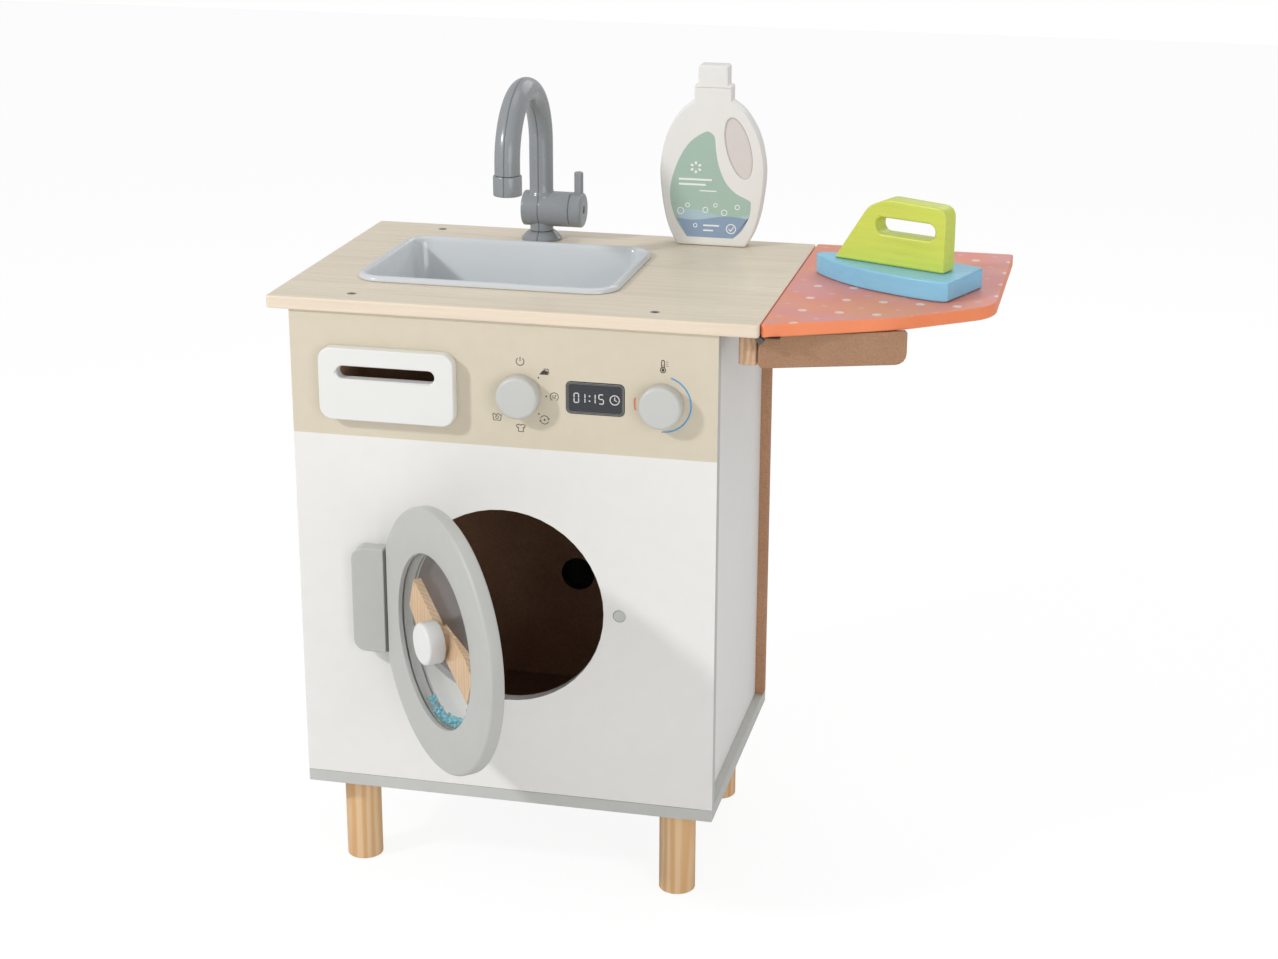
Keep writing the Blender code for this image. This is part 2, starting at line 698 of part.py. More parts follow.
def screw_places():
    left = WORKTOP_LEFT + SCREW_SIDE_INSET
    right = WORKTOP_RIGHT - SCREW_RIGHT_INSET
    front = PANEL_REAR + SEAM + CLEAT_DEPTH / 2
    rear = CABINET_DEPTH + SEAM + CLEAT_DEPTH / 2
    return (("worktop_screw_front_left", left, front), ("worktop_screw_front_right", right, front),
            ("worktop_screw_rear_left", left, rear), ("worktop_screw_rear_right", right, rear))


def dial_z():
    return PANEL_TOP - DIAL_DROP


def temperature_dial_x():
    return CABINET_WIDTH / 2 - TEMPERATURE_DIAL_INSET


def drawer_x():
    return -CABINET_WIDTH / 2 + DRAWER_INSET + DRAWER_WIDTH / 2


def drawer_z():
    return PANEL_TOP - DRAWER_DROP


def tray_z():
    return drawer_z() - TRAY_DROP


def catch_x():
    return DRUM_X + CATCH_REACH


def display_outline(grow):
    return rounded_rectangle(DISPLAY_X, PANEL_TOP - DISPLAY_DROP, DISPLAY_WIDTH + 2 * grow,
                             DISPLAY_HEIGHT + 2 * grow, DISPLAY_CORNER)


def sink_centre():
    return (WORKTOP_LEFT + SINK_LEFT_INSET + SINK_WIDTH / 2,
            WORKTOP_FRONT + SINK_FRONT_INSET + SINK_LENGTH / 2)


def sink_outline(inset):
    x, y = sink_centre()
    return rounded_rectangle(x, y, SINK_WIDTH - 2 * inset, SINK_LENGTH - 2 * inset,
                             max(SINK_CORNER - inset, SINK_CORNER / 3))


def worktop_and_screws(cabinet):
    width = WORKTOP_RIGHT - WORKTOP_LEFT
    length = WORKTOP_REAR - WORKTOP_FRONT
    board = rounded_rectangle(WORKTOP_LEFT + width / 2, WORKTOP_FRONT + length / 2, width, length,
                              2 * EDGE_ROUND)
    top = plate("worktop", [board, sink_outline(sink_neck_inset() - SINK_PLAY)], BOARD_THICKNESS,
                flat(WORKTOP_BOTTOM), "worktop_laminate", cabinet)
    round_edges(top, EDGE_ROUND, 2, 60)
    head_top = WORKTOP_TOP - SCREW_SINK
    grow = SEAM
    for name, x, y in screw_places():
        spot = Matrix.Translation((x, y, 0))
        hole = turned("screw_hole", [(0, WORKTOP_TOP + OVERRUN),
                                     (SCREW_HEAD_RADIUS + grow, WORKTOP_TOP + OVERRUN),
                                     (SCREW_HEAD_RADIUS + grow, head_top - grow),
                                     (SCREW_SHANK_RADIUS + grow, head_top - SCREW_HEAD_DEPTH - grow),
                                     (SCREW_SHANK_RADIUS + grow, WORKTOP_BOTTOM - OVERRUN),
                                     (0, WORKTOP_BOTTOM - OVERRUN)], "raw_fibreboard", cabinet, spot,
                      SMALL_SIDES)
        combine(top, hole, "DIFFERENCE")
        turned(name, [(0, head_top), (SCREW_HEAD_RADIUS, head_top),
                      (SCREW_SHANK_RADIUS, head_top - SCREW_HEAD_DEPTH),
                      (SCREW_SHANK_RADIUS, WORKTOP_TOP - SCREW_LENGTH), (0, WORKTOP_TOP - SCREW_LENGTH)],
               "screw_steel", cabinet, spot, SMALL_SIDES)
    pin_hole = cutting_cylinder(TAP_PIN_RADIUS + RUNNING_GAP, WORKTOP_TOP - TAP_PIN_SEAT - SEAM,
                                WORKTOP_TOP + OVERRUN, cabinet, Matrix.Translation((TAP_X, tap_y(), 0)))
    combine(top, pin_hole, "DIFFERENCE")


def sink_neck_inset():
    return SINK_RIM_WIDTH - SINK_WALL + SINK_PLAY


def sink_basin(cabinet):
    """A drawn basin: one wall section carried round the rounded outline, closed by its floor."""
    under = WORKTOP_TOP + SEAM
    crown = under + SINK_RIM_HEIGHT
    floor = WORKTOP_TOP - SINK_DEPTH
    neck = sink_neck_inset()
    rim = SINK_RIM_WIDTH
    section = [(neck + SINK_DRAFT + SINK_FLOOR_ROUND, floor - SINK_WALL),
               (neck + SINK_DRAFT + SINK_FLOOR_ROUND / 3, floor - SINK_WALL + SINK_FLOOR_ROUND / 4),
               (neck + SINK_DRAFT, floor - SINK_WALL + SINK_FLOOR_ROUND),
               (neck, under), (0, under), (0, under + SINK_RIM_HEIGHT / 2),
               (rim / 6, crown - SINK_RIM_HEIGHT / 9), (rim / 2, crown),
               (rim * 5 / 6, crown - SINK_RIM_HEIGHT / 9), (rim, under + SINK_RIM_HEIGHT / 2),
               (neck + SINK_WALL, under), (neck + SINK_WALL + SINK_DRAFT, floor + SINK_FLOOR_ROUND),
               (neck + SINK_WALL + SINK_DRAFT + SINK_FLOOR_ROUND / 3, floor + SINK_FLOOR_ROUND / 4),
               (neck + SINK_WALL + SINK_DRAFT + SINK_FLOOR_ROUND, floor)]
    loops = [[(x, y, z) for x, y in sink_outline(inset)] for inset, z in section]
    place("sink_basin", lofted(loops), "sink_grey", cabinet)


def lofted(loops):
    """Skin between loops of equal count, with the first and last loops filled."""
    mesh = bpy.data.meshes.new("loft")
    bm = bmesh.new()
    rings = [[bm.verts.new(point) for point in loop] for loop in loops]
    count = len(rings[0])
    for lower, upper in zip(rings, rings[1:]):
        for i in range(count):
            bm.faces.new((lower[i], lower[(i + 1) % count], upper[(i + 1) % count], upper[i]))
    bm.faces.new(reversed(rings[0]))
    bm.faces.new(rings[-1])
    bmesh.ops.recalc_face_normals(bm, faces=bm.faces)
    bm.to_mesh(mesh)
    bm.free()
    smooth(mesh)
    return mesh


# Drum door
def hinge_x():
    return DRUM_X - DOOR_CHORD - HINGE_GAP / 2


def hinge_y():
    return -DOOR_STAND_OFF + HINGE_SETBACK


def hinge_z():
    return DRUM_Z - HINGE_LENGTH / 2


def door_space(x, depth, z):
    """A point of the closed door, by depth behind its front face, from the hinge axis."""
    return (x - hinge_x(), depth - HINGE_SETBACK, z)


def door_disc(radius, sides=LARGE_SIDES):
    x, _, z = door_space(DRUM_X, 0, DRUM_Z)
    return circle(x, z, radius, sides)


def door_plate(name, loops, depth, thickness, finish, door):
    return plate(name, loops, thickness, upright(depth - HINGE_SETBACK, thickness), finish, door)


def door_ring_outline():
    x, _, z = door_space(DRUM_X, 0, DRUM_Z)
    cut = math.acos(DOOR_CHORD / DOOR_RADIUS)
    return arc(x, z, DOOR_RADIUS, math.pi + cut, 3 * math.pi - cut, LARGE_SIDES)


def hinge_block(cabinet):
    right = DRUM_X - DOOR_CHORD - HINGE_GAP
    left = right - HINGE_BLOCK_WIDTH
    low = DRUM_Z - HINGE_BLOCK_HEIGHT / 2
    high = DRUM_Z + HINGE_BLOCK_HEIGHT / 2
    corner = HINGE_BLOCK_CORNER
    outline = rounded([(left, low, corner), (right, low, 0), (right, high, 0), (left, high, corner)])
    thickness = DOOR_STAND_OFF - SEAM
    block = plate("door_hinge_block", [outline], thickness, upright(-DOOR_STAND_OFF, thickness),
                  "door_grey", cabinet)
    round_edges(block, EDGE_ROUND, 2, 60)


def drum_door(cabinet, door):
    ring = door_plate("door_ring", [door_ring_outline(), door_disc(WINDOW_RADIUS)], 0, DOOR_THICKNESS,
                      "door_grey", door)
    round_edges(ring, DOOR_EDGE_ROUND, 2, 60)
    seat = door_plate("window_seat", [door_disc(WINDOW_SEAT_RADIUS)], WINDOW_LIP, DOOR_THICKNESS,
                      "door_grey", door)
    combine(ring, seat, "DIFFERENCE")
    pane_radius = WINDOW_SEAT_RADIUS - SEAM
    axle_hole = door_disc(SPINDLE_RADIUS + RUNNING_GAP, SMALL_SIDES)
    front = WINDOW_LIP + SEAM
    door_plate("front_pane", [door_disc(pane_radius), axle_hole], front, FRONT_PANE_THICKNESS,
               "clear_window", door)
    spacer = front + FRONT_PANE_THICKNESS + SEAM
    spacer_length = PANE_SPACING - 2 * SEAM
    door_plate("drum_ring", [door_disc(pane_radius), door_disc(WINDOW_RADIUS)], spacer, spacer_length,
               "door_grey", door)
    rear = spacer + spacer_length + SEAM
    door_plate("rear_pane", [door_disc(pane_radius)], rear, REAR_PANE_THICKNESS, "clear_window", door)
    lip = rear + REAR_PANE_THICKNESS + SEAM
    back = DOOR_THICKNESS + SEAM
    back_ring = door_plate("door_back_ring", [door_disc(BACK_RING_RADIUS), door_disc(WINDOW_RADIUS)],
                           back, lip + BACK_RING_LIP - back, "door_grey", door)
    combine(back_ring, door_plate("pane_rebate", [door_disc(WINDOW_SEAT_RADIUS)], back - OVERRUN,
                                  lip - back + OVERRUN, "door_grey", door), "DIFFERENCE")
    x, _, z = door_space(DRUM_X, 0, DRUM_Z)
    heap_radius = WINDOW_RADIUS - SEAM
    spread = math.acos(BEAD_HEAP_TOP / heap_radius)
    heap = arc(x, z, heap_radius, -math.pi / 2 - spread, -math.pi / 2 + spread, CORNER_STEPS * 2)
    door_plate("bead_heap", [heap], spacer, spacer_length, "turquoise_beads", door)
    spot = door_space(catch_x(), DOOR_THICKNESS + SEAM + CATCH_PLATE_THICKNESS, DRUM_Z)
    cylinder("door_catch_plate", CATCH_PLATE_RADIUS, 0, CATCH_PLATE_THICKNESS, "screw_steel", door,
             facing_front(*spot), MEDIUM_SIDES)
    bottom = (0, 0, hinge_z())
    hinge("door_hinge", cabinet, door, Matrix.Translation((hinge_x(), hinge_y(), hinge_z())),
          Matrix.Translation(bottom), HINGE_KNUCKLE_RADIUS, HINGE_PIN_RADIUS, HINGE_LEAF_THICKNESS,
          HINGE_LEAF_WIDTH, HINGE_LENGTH)
    return front, spacer


def knob(name, finish, parent, matrix, length, front_round=KNOB_ROUND):
    """A round knob with a blind bore at the back, facing the front."""
    obj = turned(name, knob_profile(KNOB_RADIUS, length, front_round, KNOB_BACK_ROUND), finish, parent,
                 matrix, LARGE_SIDES // 2)
    combine(obj, cutting_cylinder(SPINDLE_RADIUS + SEAM, -OVERRUN, SPINDLE_ENGAGEMENT + SEAM, parent,
                                  matrix), "DIFFERENCE")
    return obj


def paddle_and_knob(paddle_axis, pane_front, chamber):
    """The knob outside the window, and the paddle that its axle turns between the panes."""
    seat = pane_front - SEAM
    knob("door_knob", "knob_white", paddle_axis, facing_front(0, seat, 0), seat + DOOR_KNOB_PROUD)
    paddle_front = chamber + SEAM
    paddle_back = paddle_front + PADDLE_THICKNESS
    cylinder("agitator_axle", SPINDLE_RADIUS, -paddle_back, SPINDLE_ENGAGEMENT - seat, "screw_steel",
             paddle_axis, facing_front(0, 0, 0))
    reach = PADDLE_RADIUS
    root_low, root_high = [(reach * x, reach * y) for x, y in PADDLE_ROOT_SHARES]
    arm = [root_low, (reach * math.cos(PADDLE_EDGE_ANGLE), reach * math.sin(PADDLE_EDGE_ANGLE)),
           (reach * math.cos(PADDLE_TIP_ANGLE), reach * math.sin(PADDLE_TIP_ANGLE)),
           (reach * PADDLE_SHOULDER_SHARES[0], reach * PADDLE_SHOULDER_SHARES[1]), root_high]
    mesh = outline_mesh([arm], PADDLE_THICKNESS)
    bm = bmesh.new()
    bm.from_mesh(mesh)
    face = PADDLE_THICKNESS
    ridge_start, ridge_end = [Vector((reach * x, reach * y, face)) for x, y in PADDLE_RIDGE_SHARES]
    valley = Vector((*root_high, face * PADDLE_VALLEY_SHARE))
    normal = (ridge_end - ridge_start).cross(valley - ridge_start).normalized()
    cut = bmesh.ops.bisect_plane(bm, geom=bm.verts[:] + bm.edges[:] + bm.faces[:], plane_co=ridge_start,
                                 plane_no=normal, clear_outer=True)
    bmesh.ops.holes_fill(bm, edges=[e for e in cut["geom_cut"] if isinstance(e, bmesh.types.BMEdge)])
    bmesh.ops.recalc_face_normals(bm, faces=bm.faces)
    bm.to_mesh(mesh)
    bm.free()
    stand = facing_front(0, paddle_back, 0)
    paddle = cylinder("agitator_paddle", PADDLE_HUB_RADIUS, 0, PADDLE_THICKNESS, "pine", paddle_axis,
                      stand, MEDIUM_SIDES)
    for turn in (0, math.pi):
        blade = place("blade", mesh.copy(), "pine", paddle_axis, stand @ Matrix.Rotation(turn, 4, "Z"))
        combine(paddle, blade, "UNION")
    combine(paddle, cutting_cylinder(SPINDLE_RADIUS + SEAM, -OVERRUN, PADDLE_THICKNESS + OVERRUN,
                                     paddle_axis, stand), "DIFFERENCE")


def dial(prefix, x, cabinet):
    """A dial on a screw that turns in the front panel, its head behind the panel."""
    axis = empty(prefix + "_axis", cabinet, (x, 0, dial_z()))
    knob(prefix, "knob_grey", axis, facing_front(0, -SEAM, 0), KNOB_LENGTH)
    rear = -PANEL_REAR - RUNNING_GAP
    turned(prefix + "_spindle", [(0, SPINDLE_ENGAGEMENT - SEAM), (SPINDLE_RADIUS, SPINDLE_ENGAGEMENT - SEAM),
                                 (SPINDLE_RADIUS, rear), (SPINDLE_HEAD_RADIUS, rear),
                                 (SPINDLE_HEAD_RADIUS, rear - SPINDLE_HEAD_LENGTH),
                                 (0, rear - SPINDLE_HEAD_LENGTH)], "screw_steel", axis,
           facing_front(0, 0, 0), SMALL_SIDES)


# Detergent drawer
def drawer_and_runners(cabinet):
    tray_front = SEAM
    drawer = empty("drawer_slide", cabinet, (drawer_x(), 0, 0))
    front = plate("drawer_front", [rounded_rectangle(0, drawer_z(), DRAWER_WIDTH, DRAWER_HEIGHT,
                                                     DRAWER_CORNER),
                                   rounded_rectangle(0, drawer_z() + SLOT_RISE, SLOT_WIDTH, SLOT_HEIGHT,
                                                     SLOT_HEIGHT / 2 - SEAM)],
                  DRAWER_FRONT_THICKNESS, upright(-SEAM - DRAWER_FRONT_THICKNESS,
                                                  DRAWER_FRONT_THICKNESS), "drawer_white", drawer)
    round_edges(front, EDGE_ROUND, 2, 60)
    low = tray_z() - TRAY_HEIGHT / 2
    high = tray_z() + TRAY_HEIGHT / 2
    half = TRAY_WIDTH / 2
    tray = box("drawer_tray", (-half, tray_front, low), (half, TRAY_DEPTH, high), "raw_fibreboard", drawer)
    hollow = cutting_box((-half + TRAY_WALL, tray_front + TRAY_WALL, low + TRAY_WALL),
                         (half - TRAY_WALL, TRAY_DEPTH - TRAY_WALL, high + OVERRUN), drawer)
    combine(tray, hollow, "DIFFERENCE")
    notch = cutting_box((-half + TRAY_WALL, -OVERRUN, low + TRAY_FRONT_HEIGHT),
                        (half - TRAY_WALL, 2 * TRAY_WALL, high + OVERRUN), drawer)
    combine(tray, notch, "DIFFERENCE")
    for name, side in (("left_drawer_runner", -1), ("right_drawer_runner", 1)):
        outer = side * (half + RUNNER_WIDTH - RUNNER_LEDGE)
        inner = side * (half - RUNNER_LEDGE)
        floor = low - RUNNING_GAP
        runner = box(name, (min(outer, inner), PANEL_REAR + SEAM, floor - RUNNER_LEDGE),
                     (max(outer, inner), TRAY_DEPTH + RUNNER_OVERLENGTH, floor - RUNNER_LEDGE + RUNNER_HEIGHT),
                     "pine", cabinet, Matrix.Translation((drawer_x(), 0, 0)))
        path = cutting_box((-half - RUNNING_GAP, 0, floor), (half + RUNNING_GAP, TRAY_DEPTH * 2, high),
                           cabinet, Matrix.Translation((drawer_x(), 0, 0)))
        combine(runner, path, "DIFFERENCE")


# Tap
def tap_y():
    return WORKTOP_REAR - TAP_REAR_INSET


def tap_shape(tap):
    """The whole tap casting as one mesh around its upright axis, from its pin to the spout's end."""
    neck_bottom = WORKTOP_TOP + SEAM + TAP_FLANGE_HEIGHT + SEAM
    valve_z = WORKTOP_TOP + TAP_VALVE_HEIGHT
    shape = cylinder("tap_casting", TAP_NECK_RADIUS, neck_bottom, valve_z, "tap_grey", tap, None,
                     MEDIUM_SIDES)
    pin = cylinder("tap_pin", TAP_PIN_RADIUS, WORKTOP_TOP - TAP_PIN_SEAT, neck_bottom + SEAM, "tap_grey",
                   tap, None)
    combine(shape, pin, "UNION")
    valve = cylinder("tap_valve", TAP_VALVE_RADIUS, -TAP_VALVE_LEFT, TAP_VALVE_RIGHT, "tap_grey", tap,
                     Matrix.Translation((0, 0, valve_z)) @ Matrix.Rotation(math.radians(90), 4, "Y"),
                     MEDIUM_SIDES)
    round_edges(valve, TAP_KNOB_ROUND / 2, 2)
    combine(shape, valve, "UNION")
    spring_line = WORKTOP_TOP + TAP_ARCH_HEIGHT
    centre = -TAP_ARCH_RADIUS
    route = [(0, valve_z)]
    route += [(y, z) for y, z in arc(centre, spring_line, TAP_ARCH_RADIUS, 0, math.pi, SMALL_SIDES)]
    route.append((-2 * TAP_ARCH_RADIUS, spring_line - TAP_SPOUT_DROP))
    curve = bpy.data.curves.new("tap_tube", "CURVE")
    curve.dimensions = "3D"
    curve.bevel_depth = TAP_SPOUT_RADIUS
    curve.bevel_resolution = 8
    curve.use_fill_caps = True
    spline = curve.splines.new("POLY")
    spline.points.add(len(route) - 1)
    slim = TAP_TUBE_RADIUS / TAP_SPOUT_RADIUS
    for i, (point, (y, z)) in enumerate(zip(spline.points, route)):
        point.co = (0, y, z, 1)
        point.radius = slim + (1 - slim) * i / (len(route) - 1)
    holder = bpy.data.objects.new("tap_tube", curve)
    PARTS.objects.link(holder)
    bpy.context.view_layer.update()
    mesh = bpy.data.meshes.new_from_object(holder.evaluated_get(bpy.context.evaluated_depsgraph_get()))
    bpy.data.objects.remove(holder, do_unlink=True)
    bm = bmesh.new()
    bm.from_mesh(mesh)
    bmesh.ops.remove_doubles(bm, verts=bm.verts, dist=WELD)
    bmesh.ops.recalc_face_normals(bm, faces=bm.faces)
    bm.to_mesh(mesh)
    bm.free()
    tube = place("tap_tube", mesh, "tap_grey", tap)
    combine(shape, tube, "UNION")
    bore = cutting_cylinder(TAP_SCREW_RADIUS + SEAM, TAP_VALVE_RIGHT - TAP_SCREW_SEAT - SEAM,
                            TAP_VALVE_RIGHT + OVERRUN, tap,
                            Matrix.Translation((0, 0, valve_z)) @ Matrix.Rotation(math.radians(90), 4, "Y"))
    combine(shape, bore, "DIFFERENCE")
    return shape, valve_z, spring_line


def half_of(mesh, side):
    """The part of a mesh on one side of the plane x = 0, closed, half a seam clear of it."""
    bm = bmesh.new()
    bm.from_mesh(mesh)
    plane = Vector((side * TAP_HALF_SEAM / 2, 0, 0))
    cut = bmesh.ops.bisect_plane(bm, geom=bm.verts[:] + bm.edges[:] + bm.faces[:], plane_co=plane,
                                 plane_no=Vector((side, 0, 0)), clear_inner=True, dist=WELD / 10)
    edges = [e for e in cut["geom_cut"] if isinstance(e, bmesh.types.BMEdge) and e.is_boundary]
    bmesh.ops.contextual_create(bm, geom=edges)
    bmesh.ops.recalc_face_normals(bm, faces=bm.faces)
    half = bpy.data.meshes.new("tap_half")
    bm.to_mesh(half)
    bm.free()
    smooth(half)
    return half


def tap_pieces(cabinet):
    tap = empty("tap_swivel_axis", cabinet, (TAP_X, tap_y(), 0))
    bottom = WORKTOP_TOP + SEAM
    bore = TAP_PIN_RADIUS + RUNNING_GAP
    turned("tap_flange", [(bore, bottom + TAP_FLANGE_HEIGHT), (TAP_FLANGE_TOP_RADIUS, bottom + TAP_FLANGE_HEIGHT),
                          (TAP_FLANGE_RADIUS - TAP_FLANGE_EDGE / 3, bottom + TAP_FLANGE_EDGE),
                          (TAP_FLANGE_RADIUS, bottom + TAP_FLANGE_EDGE * 2 / 3), (TAP_FLANGE_RADIUS, bottom),
                          (bore, bottom)], "tap_grey", cabinet,
           Matrix.Translation((TAP_X, tap_y(), 0)), MEDIUM_SIDES, closed=True)
    shape, valve_z, spring_line = tap_shape(tap)
    whole = baked(shape)
    bpy.data.objects.remove(shape, do_unlink=True)
    place("tap_left_half", half_of(whole, -1), "tap_grey", tap)
    place("tap_right_half", half_of(whole, 1), "tap_grey", tap)
    nozzle_top = spring_line - TAP_SPOUT_DROP - SEAM
    nozzle_bottom = nozzle_top - TAP_NOZZLE_HEIGHT
    ceiling = nozzle_bottom + TAP_NOZZLE_BORE_DEPTH
    turned("tap_nozzle", [(0, nozzle_top), (TAP_NOZZLE_RADIUS, nozzle_top), (TAP_NOZZLE_RADIUS, nozzle_bottom),
                          (TAP_NOZZLE_BORE, nozzle_bottom), (TAP_NOZZLE_BORE, ceiling), (0, ceiling)],
           "tap_grey", tap, Matrix.Translation((0, -2 * TAP_ARCH_RADIUS, 0)), MEDIUM_SIDES)
    sideways = Matrix.Rotation(math.radians(90), 4, "Y")
    face = TAP_VALVE_RIGHT + RUNNING_GAP
    recess = face + TAP_KNOB_LENGTH - TAP_SCREW_RECESS_DEPTH
    turned("tap_knob_screw", [(0, recess + SEAM + TAP_SCREW_HEAD_LENGTH),
                              (TAP_SCREW_RECESS_RADIUS - 2 * SEAM, recess + SEAM + TAP_SCREW_HEAD_LENGTH),
                              (TAP_SCREW_RECESS_RADIUS - 2 * SEAM, recess + SEAM),
                              (TAP_SCREW_RADIUS, recess + SEAM),
                              (TAP_SCREW_RADIUS, TAP_VALVE_RIGHT - TAP_SCREW_SEAT),
                              (0, TAP_VALVE_RIGHT - TAP_SCREW_SEAT)], "screw_steel", tap,
           Matrix.Translation((0, 0, valve_z)) @ sideways, SMALL_SIDES)
    axis = empty("tap_knob_axis", tap, (0, 0, valve_z))
    grip = turned("tap_end_knob", knob_profile(TAP_VALVE_RADIUS, TAP_KNOB_LENGTH, TAP_KNOB_ROUND,
                                               KNOB_BACK_ROUND / 2), "tap_grey", axis,
                  Matrix.Translation((face, 0, 0)) @ sideways)
    combine(grip, cutting_cylinder(TAP_SCREW_RECESS_RADIUS, recess - face, TAP_KNOB_LENGTH + OVERRUN, axis,
                                   Matrix.Translation((face, 0, 0)) @ sideways), "DIFFERENCE")
    combine(grip, cutting_cylinder(TAP_SCREW_RADIUS + RUNNING_GAP, -OVERRUN, TAP_KNOB_LENGTH, axis,
                                   Matrix.Translation((face, 0, 0)) @ sideways), "DIFFERENCE")
    stem = Matrix.Translation((face + TAP_KNOB_LENGTH * TAP_LEVER_SHARE, 0, 0))
    combine(grip, cutting_cylinder(TAP_LEVER_RADIUS + SEAM, TAP_LEVER_ROOT - SEAM,
                                   TAP_VALVE_RADIUS + OVERRUN, axis, stem), "DIFFERENCE")
    lever = cylinder("tap_lever", TAP_LEVER_RADIUS, TAP_LEVER_ROOT, TAP_LEVER_TOP, "tap_grey", axis, stem)
    round_edges(lever, TAP_LEVER_RADIUS / 4, 2)


# Ironing board and its support
def board_left():
    return WORKTOP_RIGHT + BOARD_GAP


def batten_right():
    return WORKTOP_RIGHT - BATTEN_INSET


def board_hinge_axis():
    return (WORKTOP_RIGHT + BOARD_GAP / 2, WORKTOP_BOTTOM - SEAM - BOARD_HINGE_KNUCKLE_RADIUS)


def board_and_bracket(cabinet):
    axis_x, axis_z = board_hinge_axis()
    board = empty("board_hinge_axis", cabinet, (axis_x, 0, axis_z))
    left = board_left() - axis_x
    right = left + BOARD_WIDTH
    rear = BOARD_FRONT + BOARD_LENGTH
    slant = [(left + BOARD_WIDTH * u, BOARD_FRONT + BOARD_LENGTH * v) for u, v in BOARD_SLANT_SHARES]
    outline = rounded([(left, BOARD_FRONT, BOARD_CORNER), (*slant[0], BOARD_SLANT_RADIUS),
                       (*slant[1], BOARD_TIP_RADIUS), (right, rear, BOARD_CORNER),
                       (left, rear, BOARD_CORNER)])
    top = plate("ironing_board", [outline], BOARD_THICKNESS, flat(WORKTOP_BOTTOM - axis_z),
                "board_orange", board)
    round_edges(top, EDGE_ROUND, 2, 60)
    folded = Matrix(((0, -1, 0, 0), (0, 0, 1, 0), (-1, 0, 0, 0), (0, 0, 0, 1)))
    for name, y, length in (("front_board_hinge", FRONT_BOARD_HINGE_Y, FRONT_BOARD_HINGE_LENGTH),
                            ("rear_board_hinge", REAR_BOARD_HINGE_Y, REAR_BOARD_HINGE_LENGTH)):
        fixed = Matrix.Translation((axis_x, y, axis_z)) @ folded
        moving = Matrix.Translation((0, y, 0)) @ folded @ Matrix.Rotation(math.pi, 4, "Z")
        hinge(name, cabinet, board, fixed, moving, BOARD_HINGE_KNUCKLE_RADIUS, BOARD_HINGE_PIN_RADIUS,
              BOARD_HINGE_LEAF_THICKNESS, BOARD_HINGE_LEAF_WIDTH, length)
    face = batten_right()
    batten = box("board_batten", (face - BATTEN_WIDTH, BATTEN_FRONT, PANEL_TOP - BATTEN_HEIGHT),
                 (face, BATTEN_FRONT + BATTEN_LENGTH, PANEL_TOP), "pine", cabinet)
    round_edges(batten, EDGE_ROUND, 2)
    pivot = (face + HINGE_GAP / 2, BATTEN_FRONT + BRACKET_HINGE_SETBACK, 0)
    bracket = empty("bracket_axis", cabinet, pivot, -BRACKET_OPEN_ANGLE)
    bottom = PANEL_TOP - SEAM - BRACKET_HEIGHT
    outline = rounded([(0, bottom, BRACKET_INNER_CORNER), (BRACKET_LENGTH, bottom, BRACKET_OUTER_CORNER),
                       (BRACKET_LENGTH, PANEL_TOP - SEAM, 0), (0, PANEL_TOP - SEAM, 0)])
    stand = Matrix(((0, 0, 1, HINGE_GAP / 2), (1, 0, 0, -BRACKET_HINGE_SETBACK), (0, 1, 0, 0), (0, 0, 0, 1)))
    arm = plate("support_bracket", [outline], BRACKET_THICKNESS, stand, "raw_fibreboard", bracket)
    round_edges(arm, EDGE_ROUND / 2, 1, 60)
    base = bottom + (BRACKET_HEIGHT - BRACKET_HINGE_LENGTH) / 2
    hinge("bracket_hinge", cabinet, bracket, Matrix.Translation((pivot[0], pivot[1], base)),
          Matrix.Translation((0, 0, base)), HINGE_KNUCKLE_RADIUS, HINGE_PIN_RADIUS, HINGE_LEAF_THICKNESS,
          HINGE_LEAF_WIDTH, BRACKET_HINGE_LENGTH)
    return board, (axis_x, axis_z)


